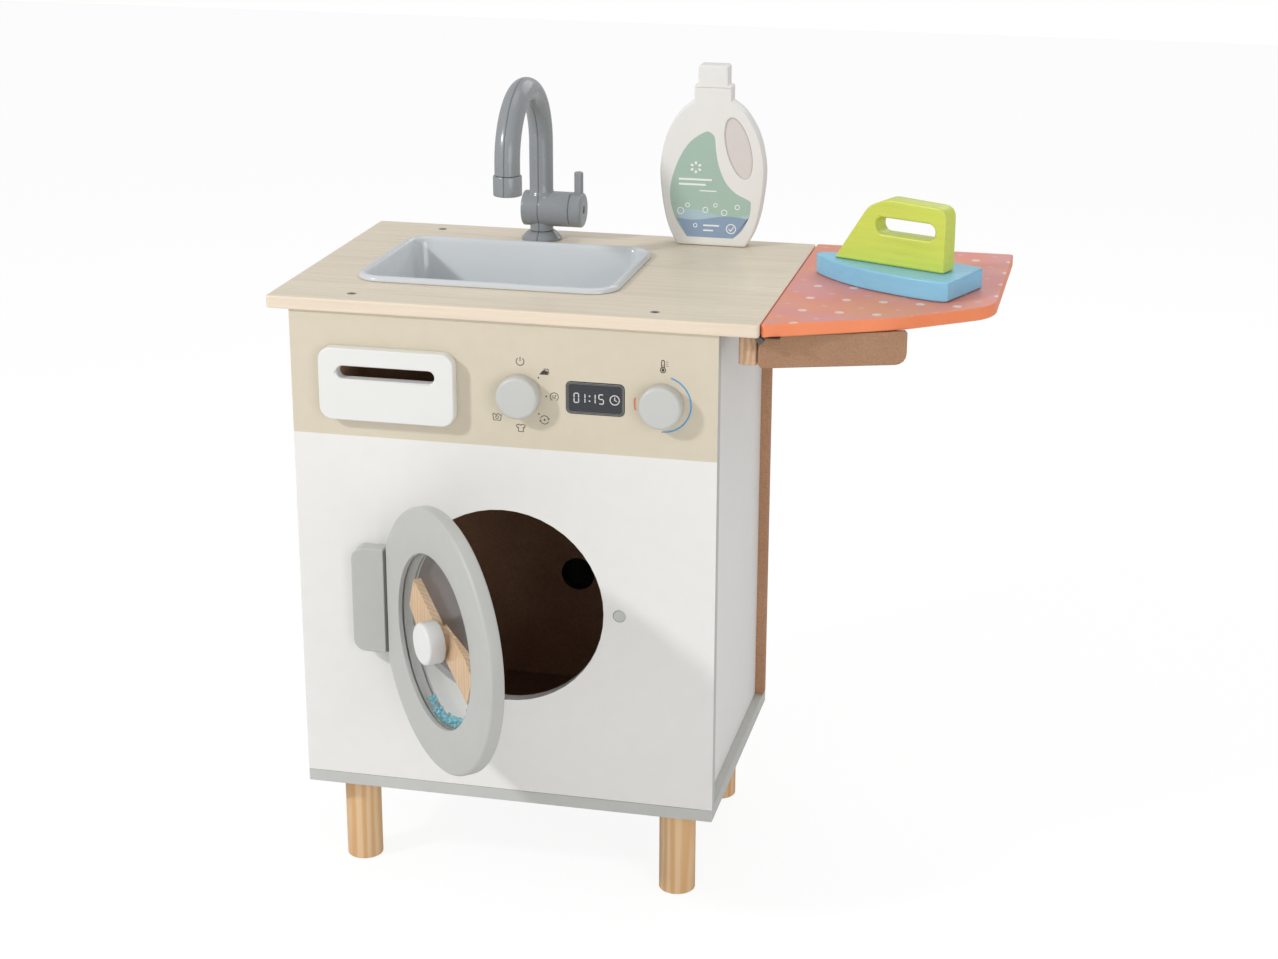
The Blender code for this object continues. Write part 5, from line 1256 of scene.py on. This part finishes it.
def swirl_icon(art, x, y):
    art.ring(x, y, 3.9, 0.7, 20, 160)
    art.ring(x, y, 3.9, 0.7, 200, 340)
    for turn in (20, 200):
        a = math.radians(turn)
        tip = (x + 3.9 * math.cos(a), y + 3.9 * math.sin(a))
        art.fill([(tip[0] - 1.2 * math.cos(a), tip[1] - 1.2 * math.sin(a)),
                  (tip[0] + 1.6 * math.sin(a), tip[1] - 1.6 * math.cos(a)),
                  (tip[0] + 1.2 * math.cos(a), tip[1] + 1.2 * math.sin(a))])
    art.dot(x, y, 0.9)


def open_ring_icon(art, x, y):
    art.ring(x, y, 3.8, 0.7, -60, 240)
    art.stroke([(x - 1.2, y - 1.3), (x - 1.2, y + 1.3)], 0.6)
    art.stroke([(x + 0.1, y + 1.3), (x + 1.6, y + 1.3), (x + 0.1, y - 1.3), (x + 1.6, y - 1.3)], 0.55)


def panel_film(name, art, finish, x):
    """A print on the front panel, about a dial's middle."""
    film(name, art, finish, "cabinet", facing_front(x, CABINET_FRONT, DIAL_Z))


def panel_prints():
    paper = tint(216, 207, 188)
    dark = ink("panel_ink", tint(58, 52, 44), paper)
    art = Print()
    places = {}
    for turn in (45, 0, -45, -90, -135):
        a = math.radians(turn)
        places[turn] = (ICON_CIRCLE * math.cos(a), ICON_CIRCLE * math.sin(a))
    power_icon(art)
    iron_icon(art, *places[45])
    open_ring_icon(art, *places[0])
    swirl_icon(art, *places[-45])
    shirt_icon(art, *places[-90])
    tub_icon(art, *places[-135])
    for a in (math.radians(turn) for turn in (45, 0, -45)):
        art.dot(TICK_CIRCLE * math.cos(a), TICK_CIRCLE * math.sin(a), 0.75)
    program_x = (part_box("program_dial")[0][0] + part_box("program_dial")[1][0]) / 2
    panel_film("program_marks", art, dark, program_x)
    heat_x = (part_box("temperature_dial")[0][0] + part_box("temperature_dial")[1][0]) / 2
    art = Print()
    art.ring(0, 31.6, 2.4, 0.8)
    art.dot(0, 31.6, 1.4)
    art.stroke([(-1.3, 33.2), (-1.3, 39.6), (-0.7, 40.7), (0.7, 40.7), (1.3, 39.6), (1.3, 33.2)], 0.8)
    art.stroke([(0, 31.8), (0, 36.6)], 0.5)
    for height, width in ((39.4, 1.8), (37.4, 1.3), (35.4, 1.8)):
        art.stroke([(2.9, height), (2.9 + width, height)], 0.5)
    panel_film("heat_marks", art, dark, heat_x)
    scale = Print()
    scale.ring(0, 0, SCALE_CIRCLE, 1.5, -92, 74, 60)
    scale.ring(0, 0, SCALE_CIRCLE, 1.5, 170, 196, 16)
    panel_film("heat_scale", scale, dial_print(), heat_x)


def seven_segments(art, digit, x, width=4.2, height=8.6, line=0.95):
    half = height / 2
    gap = 0.35
    lines = {"a": [(x + gap, half), (x + width - gap, half)],
             "b": [(x + width, half - gap), (x + width, gap)],
             "c": [(x + width, -gap), (x + width, -half + gap)],
             "d": [(x + gap, -half), (x + width - gap, -half)],
             "e": [(x, -gap), (x, -half + gap)],
             "f": [(x, half - gap), (x, gap)],
             "g": [(x + gap, 0), (x + width - gap, 0)]}
    lit = {"0": "abcdef", "1": "bc", "5": "afgcd"}
    for name in lit[digit]:
        art.stroke(lines[name], line)


def display():
    low, high = ends(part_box("display_plate"))
    middle = (low + high) / 2
    width = high.x - low.x
    height = high.z - low.z
    thickness = high.y - low.y
    outline = rounded_rectangle(middle.x, middle.z, width, height, DISPLAY_CORNER)
    piece("display_glass", outline_mesh("display", [outline], thickness), display_glass(), "cabinet",
          upright(low.y, thickness), ("display_plate",), DISPLAY_ROUND)
    spot = facing_front(middle.x, low.y, middle.z)
    silver = ink("display_silver", tint(150, 148, 144), tint(40, 42, 48), 0.3)
    frame_lines = Print()
    for inset, line in ((0.9, 0.4), (2.0, 0.25)):
        wide = width * 1000 - 2 * inset
        tall = height * 1000 - 2 * inset
        frame_lines.stroke(rounded_rectangle(0, 0, wide, tall, 5.0 - inset), line, True)
    film("display_border", frame_lines, silver, "cabinet", spot)
    lit = Finish("display_figures", roughness=0.45)
    lit.colour(lit.mix(lit.noise(700, 2), tint(206, 206, 202), tint(222, 222, 218)))
    art = Print()
    for digit, x in (("0", -19.5), ("1", -13.6), ("1", -4.2), ("5", 3.4)):
        seven_segments(art, digit, x)
    art.dot(-5.6 + 0.4, 2.3, 0.75)
    art.dot(-5.6 + 0.4, -2.3, 0.75)
    art.ring(18.0, 0, 4.3, 0.9)
    art.stroke([(18.0, 2.6), (18.0, 0), (20.0, -1.2)], 0.8)
    film("display_figures", art, lit.material, "cabinet", spot)


# Tap
TAP_SPOT = Matrix.Translation((*TAP_PLACE, 0))
TAP_BOTTOM = WORKTOP_TOP + SEAM
TAP_FLANGE_TOP = TAP_BOTTOM + TAP_FLANGE_HEIGHT
TAP_VALVE_Z = WORKTOP_TOP + TAP_VALVE_HEIGHT
TAP_SPRING_Z = WORKTOP_TOP + TAP_ARCH_HEIGHT
TAP_SPOUT_Z = TAP_SPRING_Z - TAP_SPOUT_DROP


def tap_flange(plastic):
    """A low flange that flares from the neck down to the worktop."""
    shoulder = TAP_FLANGE_TOP - 0.0005
    profile = [(0, TAP_FLANGE_TOP), (TAP_FLANGE_TOP_RADIUS - TAP_SOFT, TAP_FLANGE_TOP),
               (TAP_FLANGE_TOP_RADIUS, shoulder)]
    profile += [(TAP_FLANGE_TOP_RADIUS + 0.0056 * share, shoulder - 0.0055 * share ** 1.35)
                for share in (0.15, 0.35, 0.55, 0.75, 0.9, 1.0)]
    profile += [(TAP_FLANGE_RADIUS, TAP_BOTTOM + 0.0018), (TAP_FLANGE_RADIUS, TAP_BOTTOM), (0, TAP_BOTTOM)]
    piece("tap_flange_fine", turned("flange", profile), plastic, "cabinet", TAP_SPOT,
          ("tap_flange",))


def tap_tube():
    """Up from the valve, over the arch and down to the nozzle, with a flare at its root."""
    rises = (0.0, 0.014, 0.0155, 0.017, 0.019)
    flare = [0.0, 0.0022, 0.0013, 0.0006, 0.0]
    route = [(0, TAP_VALVE_Z + rise) for rise in rises]
    run = TAP_SPRING_Z - TAP_VALVE_Z - rises[-1]
    route += [(0, TAP_VALVE_Z + rises[-1] + run * k / 6) for k in range(1, 6)]
    route += arc(-TAP_ARCH_RADIUS, TAP_SPRING_Z, TAP_ARCH_RADIUS, 0, math.pi, 72)
    route += [(-2 * TAP_ARCH_RADIUS, TAP_SPOUT_Z + TAP_SOFT), (-2 * TAP_ARCH_RADIUS, TAP_SPOUT_Z)]
    last = len(route) - 1
    radii = [TAP_TUBE_RADIUS + (TAP_SPOUT_RADIUS - TAP_TUBE_RADIUS) * i / last for i in range(len(route))]
    radii = [radius + extra for radius, extra in zip(radii, flare + [0.0] * len(radii))]
    radii[-1] -= TAP_SOFT
    return swept("tube", route, radii)


def tap_casting(plastic):
    """Neck, valve body and arched tube as one piece."""
    low = TAP_FLANGE_TOP + SEAM
    ease = 0.0005
    neck = turned("neck", [(0, TAP_VALVE_Z), (TAP_NECK_RADIUS, TAP_VALVE_Z), (TAP_NECK_RADIUS, low + ease),
                           (TAP_NECK_RADIUS - ease, low), (0, low)])
    end = 0.0015
    left = -TAP_VALVE_LEFT
    profile = [(0, TAP_VALVE_RIGHT), (TAP_VALVE_RADIUS - TAP_RIM, TAP_VALVE_RIGHT),
               (TAP_VALVE_RADIUS, TAP_VALVE_RIGHT - TAP_RIM), (TAP_VALVE_RADIUS, left + end)]
    profile += [(TAP_VALVE_RADIUS - end + end * math.cos(a), left + end - end * math.sin(a))
                for a in angles(15, 1, 7)]
    valve = moved(turned("valve", profile + [(0, left)]),
                  Matrix.Translation((0, 0, TAP_VALVE_Z)) @ UP_TO_RIGHT)
    piece("tap_casting", joined("tap_casting", [neck, valve, tap_tube()]), plastic, "tap",
          TAP_SPOT, ("tap_left_half", "tap_right_half"))


def tap_nozzle(plastic):
    """A short bored nozzle with a raised ring in the ceiling of its bore."""
    top = TAP_SPOUT_Z - SEAM
    low = top - TAP_NOZZLE_HEIGHT
    ceiling = low + TAP_NOZZLE_BORE_DEPTH
    radius = TAP_NOZZLE_RADIUS
    bore = TAP_NOZZLE_BORE
    soft = 0.001
    knee = 0.0003
    ring_low = ceiling - 0.001
    profile = [(0, top), (radius - soft, top), (radius - knee, top - knee), (radius, top - soft),
               (radius, low + soft), (radius - knee, low + knee), (radius - soft, low),
               (bore + TAP_SOFT, low), (bore, low + TAP_SOFT), (bore, ceiling),
               (0.007, ceiling), (0.0066, ring_low), (0.0045, ring_low), (0.0041, ceiling), (0, ceiling)]
    piece("tap_nozzle_fine", turned("nozzle", profile), plastic, "tap",
          TAP_SPOT @ Matrix.Translation((0, -2 * TAP_ARCH_RADIUS, 0)), ("tap_nozzle",))


def tap_handle():
    """The valve's end knob with its lever, and the screw sunk in its face."""
    grey_plastic = moulded("tap_knob_look", tint(143, 147, 150), 0.22)
    axis = TAP_SPOT @ Matrix.Translation((0, 0, TAP_VALVE_Z))
    face = TAP_VALVE_RIGHT + SEAM
    length = TAP_KNOB_LENGTH
    recess = TAP_SCREW_RECESS
    seat = length - TAP_SCREW_RECESS_DEPTH
    brow = 0.003
    profile = [(0, seat), (recess, seat), (recess, length - TAP_SOFT), (recess + TAP_SOFT, length)]
    profile += quarter(TAP_VALVE_RADIUS - brow, length - brow, brow, 90)
    profile += [(TAP_VALVE_RADIUS, TAP_RIM), (TAP_VALVE_RADIUS - TAP_RIM, 0), (0, 0)]
    knob = moved(turned("tap_end_knob", profile), Matrix.Translation((face, 0, 0)) @ UP_TO_RIGHT)
    piece("tap_end_knob_fine", knob, grey_plastic, "tap_handle", axis, ("tap_end_knob",))

    tip = 0.0016
    profile = [(0, TAP_LEVER_TOP)] + quarter(TAP_LEVER_RADIUS - tip, TAP_LEVER_TOP - tip, tip, 90)
    profile += [(TAP_LEVER_RADIUS, TAP_VALVE_RADIUS - brow), (TAP_LEVER_RADIUS, TAP_LEVER_ROOT),
                (0, TAP_LEVER_ROOT)]
    piece("tap_lever_fine", turned("lever", profile, SMALL_SIDES), grey_plastic, "tap_handle",
          axis @ Matrix.Translation((face + length * TAP_LEVER_SHARE, 0, 0)), ("tap_lever",))

    steel = brushed("tap_screw_look", tint(150, 150, 148), 0.3)
    crown = face + length - TAP_SCREW_RECESS_DEPTH + TAP_SCREW_HEIGHT
    head = moved(phillips_head(recess - TAP_SOFT, TAP_SCREW_DEPTH),
                 Matrix.Translation((crown, 0, 0)) @ UP_TO_RIGHT)
    piece("tap_knob_screw_head", head, steel, "tap", axis, ("tap_knob_screw",))


def tap():
    plastic = tap_plastic()
    tap_flange(plastic)
    tap_casting(plastic)
    tap_nozzle(plastic)
    tap_handle()


# Ironing board
def ironing_board():
    low, high = ends(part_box("ironing_board"))
    left = low.x
    width = high.x - low.x
    front = CABINET_FRONT - BOARD_OVERHANG
    length = BOARD_LENGTH
    slant = [(left + width * u, front + length * v) for u, v in BOARD_SLANT_SHARES]
    outline = rounded([(left, front, BOARD_CORNER), (*slant[0], BOARD_SLANT_RADIUS),
                       (*slant[1], BOARD_TIP_RADIUS), (left + width, front + length, BOARD_CORNER),
                       (left, front + length, BOARD_CORNER)], 16)
    piece("ironing_board_fine", outline_mesh("board", [outline], high.z - low.z), board_print(), "board",
          Matrix.Translation((0, 0, low.z)), ("ironing_board",), EDGE_ROUND)


# Toys
def toy_iron():
    spot = Matrix.Translation((*IRON_PLACE, 0)) @ Matrix.Rotation(IRON_ANGLE, 4, "Z")
    sole = WORKTOP_TOP + SEAM
    half_width = IRON_WIDTH / 2
    side = [(IRON_LENGTH * along, half_width * across) for along, across in IRON_OUTLINE_SHARES]
    curve = flowing(side + [(IRON_LENGTH, 0)], 8)[:-1]
    outline = [(x, -y) for x, y in curve] + [(IRON_LENGTH, 0)] + [(x, y) for x, y in reversed(curve)]
    blue = painted_wood("iron_base_look", tint(134, 198, 230))
    piece("iron_base_fine", outline_mesh("iron_base", [outline], IRON_BASE_THICKNESS), blue, "iron",
          spot @ Matrix.Translation((0, 0, sole)), ("iron_base",), IRON_BASE_ROUND, 6)
    iron_handle(spot, sole + IRON_BASE_THICKNESS + SEAM)


def iron_handle(spot, low):
    """A grip with a slot for the fingers, standing on the iron's base."""
    high = low + IRON_HANDLE_HEIGHT
    rear = IRON_HANDLE_REAR
    nose = rear + IRON_HANDLE_LENGTH
    front = [(nose - IRON_HANDLE_LENGTH * along, low + IRON_HANDLE_HEIGHT * up)
             for along, up in IRON_NOSE_SHARES]
    profile = rounded([(rear, low, 0), (*front[0], 0), (*front[1], IRON_GRIP_RADIUS * 2),
                       (*front[2], IRON_GRIP_RADIUS * 2),
                       (nose - IRON_HANDLE_LENGTH * IRON_BROW_SHARE, high, IRON_GRIP_RADIUS * 2),
                       (rear, high - IRON_GRIP_RADIUS / 5, IRON_GRIP_RADIUS)])
    slot_rear, slot_rise, slot_width, slot_height = IRON_SLOT
    slot = rounded_rectangle(rear + slot_rear + slot_width / 2, low + slot_rise + slot_height / 2,
                             slot_width, slot_height, slot_height / 2 - SEAM)
    green = painted_wood("iron_handle_look", tint(204, 216, 88))
    half = IRON_HANDLE_THICKNESS / 2
    piece("iron_handle_fine", outline_mesh("iron_handle", [profile, slot], IRON_HANDLE_THICKNESS), green,
          "iron", spot @ upright(-half, IRON_HANDLE_THICKNESS), ("iron_handle",),
          IRON_HANDLE_ROUND, 6)


def bottle_outline(bottom):
    half = BOTTLE_WIDTH / 2
    side = flowing([(half * across, bottom + BOTTLE_HEIGHT * up) for across, up in BOTTLE_SIDE_SHARES], 10)
    neck_low = bottom + BOTTLE_NECK_RISE
    cap_low = bottom + BOTTLE_CAP_RISE
    neck = BOTTLE_NECK_WIDTH / 2
    cap = BOTTLE_CAP_WIDTH / 2
    top = bottom + BOTTLE_HEIGHT
    soft = 0.0028
    corner = [(neck, neck_low)]
    ease = soft * 0.6
    corner += [(neck - ease + ease * math.cos(a), cap_low - ease + ease * math.sin(a))
               for a in angles(18, 0, 6)]
    corner += [(cap, cap_low)]
    corner += [(cap - soft + soft * math.cos(a), top - soft + soft * math.sin(a))
               for a in angles(15, 0, 7)]
    right = side[:-1] + corner
    return right + [(-x, z) for x, z in reversed(right)]


def oval(x, y, wide, tall, tilt, steps=72):
    turn = Matrix.Rotation(math.radians(tilt), 2)
    return [tuple(Vector((x, y)) + turn @ Vector((wide * math.cos(a), tall * math.sin(a))))
            for a in (2 * math.pi * k / steps for k in range(steps))]


BOTTLE_SPOT = Matrix.Translation((*BOTTLE_PLACE, 0))
BOTTLE_PAPER = tint(231, 230, 227)


def bottle():
    """A flat board bottle with rounded edges and a shallow finger hollow cut in its face."""
    body = moved(outline_mesh("bottle", [bottle_outline(BOTTLE_BOTTOM)], BOTTLE_THICKNESS),
                 upright(0, BOTTLE_THICKNESS))
    hollow = moved(outline_mesh("grip", [oval(*BOTTLE_GRIP)], BOTTLE_GROOVE * 2),
                   upright(-BOTTLE_GROOVE, BOTTLE_GROOVE * 2))
    white = painted("bottle_look", BOTTLE_PAPER, 0.4, 0.012)
    obj = piece("bottle_body", body, white, "bottle", BOTTLE_SPOT, ("detergent_bottle",))
    cutter = added("grip_cutter", hollow)
    cutter.matrix_world = BOTTLE_SPOT
    bevelled(obj, BOTTLE_ROUND, 5)
    cut = obj.modifiers.new("grip", "BOOLEAN")
    cut.operation = "DIFFERENCE"
    cut.solver = "EXACT"
    cut.object = cutter
    carved = made_real(obj)
    obj.modifiers.clear()
    smooth(carved, 28)
    carved.materials.clear()
    carved.materials.append(white)
    obj.data = carved
    bpy.data.objects.remove(cutter, do_unlink=True)
    grip_prints()
    label_colours()
    label_marks()


def bottle_film(name, art, finish, depth=0.0, layer=0):
    """A print on the bottle's face, sunk by a depth or raised by a number of film steps."""
    face = BOTTLE_SPOT @ facing_front(0, depth, BOTTLE_BOTTOM)
    raised = Matrix.Translation((0, 0, FILM_STEP * layer))
    film(name, art, finish, "bottle", face @ raised)


def grip_oval(grow):
    """The finger hollow's outline in print millimetres, grown by a length."""
    x, z, wide, tall, tilt = BOTTLE_GRIP
    return [(u * 1000, (v - BOTTLE_BOTTOM) * 1000) for u, v in oval(x, z, wide + grow, tall + grow, tilt)]


def grip_prints():
    pad = Print()
    pad.fill(grip_oval(-0.0004))
    paint = painted("grip_pad_look", tint(216, 209, 206), 0.5, 0.02)
    bottle_film("bottle_grip_pad", pad, paint, BOTTLE_GROOVE)
    # The thin darker ring round the hollow's edge is painted shade for the groove, laid as a film like the
    # prints.
    rim = Print()
    rim.stroke(grip_oval(0.0003), 0.7, True)
    bottle_film("bottle_grip_painted_groove_shade", rim, ink("grip_groove_painted_shade", tint(178, 170, 166), BOTTLE_PAPER, 0.3))


def pool(level, swing):
    """The foot of the label up to a wavy line at a level."""
    shore = [(x, level + swing * math.sin((x + 40) / 78 * 2 * math.pi)) for x in range(37, -38, -3)]
    return [(-24.5, 8.5), (22, 8.5), (31, 17), (38, 31)] + shore


def label_colours():
    """Three plain tones: a hill of sage, a pale wave and a blue pool."""
    hill = flowing([(-24.5, 8.5), (-36, 26), (-41.5, 46), (-40.5, 64), (-33, 86), (-22, 103), (-8, 113),
                    (-2, 113), (2.5, 108), (3.8, 96), (7, 80), (14, 64), (24, 54), (33, 49.5), (38.5, 46.5),
                    (39.5, 43), (38, 31), (31, 17), (22, 8.5)], 8)
    tones = (("sage", hill, tint(166, 191, 177)), ("wave", pool(33.0, 3.2), tint(172, 196, 206)),
             ("pool", pool(28.0, -2.4), tint(139, 160, 186)))
    for layer, (name, outline, colour) in enumerate(tones):
        art = Print()
        art.fill(outline)
        tone = ink(name + "_ink", colour, BOTTLE_PAPER, 0.12)
        bottle_film("bottle_print_" + name, art, tone, layer=layer)


def label_marks():
    """White marks: bubbles, a six-petalled flower, short bars and a tick in a ring."""
    marks = Print()
    for x, y, radius in ((-31, 34, 3.2), (-24, 40, 2.0), (-6, 36, 2.6), (4, 41, 1.8), (13, 34, 2.8),
                         (26, 40, 2.2), (-16, 20, 1.8)):
        marks.ring(x, y, radius, 0.8)
    for turn in range(6):
        a = math.radians(60 * turn + 30)
        marks.fill([(-16 + 6.5 * math.cos(a + t) * s, 78 + 6.5 * math.sin(a + t) * s)
                    for t, s in ((0, 0.35), (-0.32, 0.72), (0, 1.0), (0.32, 0.72))])
    for y, start, end, width in ((66, -33, 0, 1.9), (61, -33, -6, 1.9), (55, -12, 5, 1.1),
                                 (20.5, -8, 8, 1.5), (15.5, -8, 2, 1.5)):
        marks.stroke([(start, y), (end, y)], width)
    marks.ring(20, 18, 4.6, 0.9)
    marks.stroke([(17.6, 18), (19.6, 15.9), (22.6, 20)], 0.9)
    white = ink("white_ink", tint(240, 241, 238), BOTTLE_PAPER, 0.1)
    bottle_film("bottle_print_marks", marks, white, layer=3)


# Stage
def emptied(owner):
    """The node tree of a material or world, with nothing in it."""
    owner.use_nodes = True
    owner.node_tree.nodes.clear()
    return owner.node_tree


def shader(tree, kind, **sockets):
    node = tree.nodes.new(kind)
    for socket, value in sockets.items():
        node.inputs[socket].default_value = value
    return node


def seen_and_lit(tree, output, lit, seen):
    """One shader for the light it gives, the other for rays straight at it or through the window."""
    path = shader(tree, "ShaderNodeLightPath")
    direct = shader(tree, "ShaderNodeMath")
    direct.operation = "MAXIMUM"
    choice = shader(tree, "ShaderNodeMixShader")
    for start, end in ((path.outputs["Is Camera Ray"], direct.inputs[0]),
                       (path.outputs["Is Transmission Ray"], direct.inputs[1]),
                       (direct.outputs[0], choice.inputs[0]), (lit.outputs[0], choice.inputs[1]),
                       (seen.outputs[0], choice.inputs[2]),
                       (choice.outputs[0], shader(tree, output).inputs["Surface"])):
        tree.links.new(start, end)


def grey(level):
    return (level, level, level, 1)


def floor():
    """A pale floor that takes shadows and is close to white where it is seen."""
    signs = ((-1, -1), (1, -1), (1, 1), (-1, 1))
    corners = [(x * FLOOR_REACH, y * FLOOR_REACH, -FLOOR_DROP) for x, y in signs]
    mesh = mesh_of("floor", corners, [(0, 1, 2, 3)])
    obj = added("floor", mesh)
    material = bpy.data.materials.new("floor_look")
    tree = emptied(material)
    lit = shader(tree, "ShaderNodeBsdfDiffuse", Color=grey(FLOOR_LIT_GREY))
    surface = shader(tree, "ShaderNodeBsdfDiffuse", Color=grey(FLOOR_SEEN_GREY))
    glow = shader(tree, "ShaderNodeEmission", Strength=FLOOR_SEEN_GLOW)
    seen = shader(tree, "ShaderNodeAddShader")
    tree.links.new(surface.outputs[0], seen.inputs[0])
    tree.links.new(glow.outputs[0], seen.inputs[1])
    seen_and_lit(tree, "ShaderNodeOutputMaterial", lit, seen)
    mesh.materials.append(material)


def surroundings():
    """Soft grey light from all round; straight at it or through the window it is white."""
    world = bpy.data.worlds.new("studio")
    bpy.context.scene.world = world
    tree = emptied(world)
    lit = shader(tree, "ShaderNodeBackground", Color=grey(1), Strength=AMBIENT)
    seen = shader(tree, "ShaderNodeBackground", Color=grey(1), Strength=1.0)
    seen_and_lit(tree, "ShaderNodeOutputWorld", lit, seen)


def lamps():
    for name, place, size, power in LAMPS:
        data = bpy.data.lights.new(name, "AREA")
        data.shape = "DISK"
        data.size = size
        data.energy = power
        lamp = added(name, data)
        lamp.location = place
        lamp.rotation_euler = (LAMP_TARGET - Vector(place)).to_track_quat("-Z", "Y").to_euler()


def camera():
    data = bpy.data.cameras.new("camera")
    data.sensor_width = SENSOR_WIDTH
    data.sensor_fit = "HORIZONTAL"
    data.lens = FOCAL_PIXELS / PHOTO_WIDTH * SENSOR_WIDTH
    obj = added("camera", data)
    ahead = Vector((-math.sin(CAMERA_YAW) * math.cos(CAMERA_PITCH),
                    math.cos(CAMERA_YAW) * math.cos(CAMERA_PITCH), -math.sin(CAMERA_PITCH)))
    level = Vector((math.cos(CAMERA_YAW), math.sin(CAMERA_YAW), 0))
    above = level.cross(ahead)
    right = level * math.cos(CAMERA_ROLL) + above * math.sin(CAMERA_ROLL)
    up = above * math.cos(CAMERA_ROLL) - level * math.sin(CAMERA_ROLL)
    turn = Matrix((right, up, -ahead)).transposed().to_4x4()
    obj.matrix_world = Matrix.Translation(CAMERA_PLACE) @ turn
    bpy.context.scene.camera = obj


bpy.context.scene.view_settings.view_transform = "Standard"
camera()
lamps()
surroundings()
floor()
cabinet_finishes()
legs()
screws()
hole_cap()
catch_magnet()
sink()
drum_door()
knobs()
drawer()
panel_prints()
display()
tap()
ironing_board()
toy_iron()
bottle()
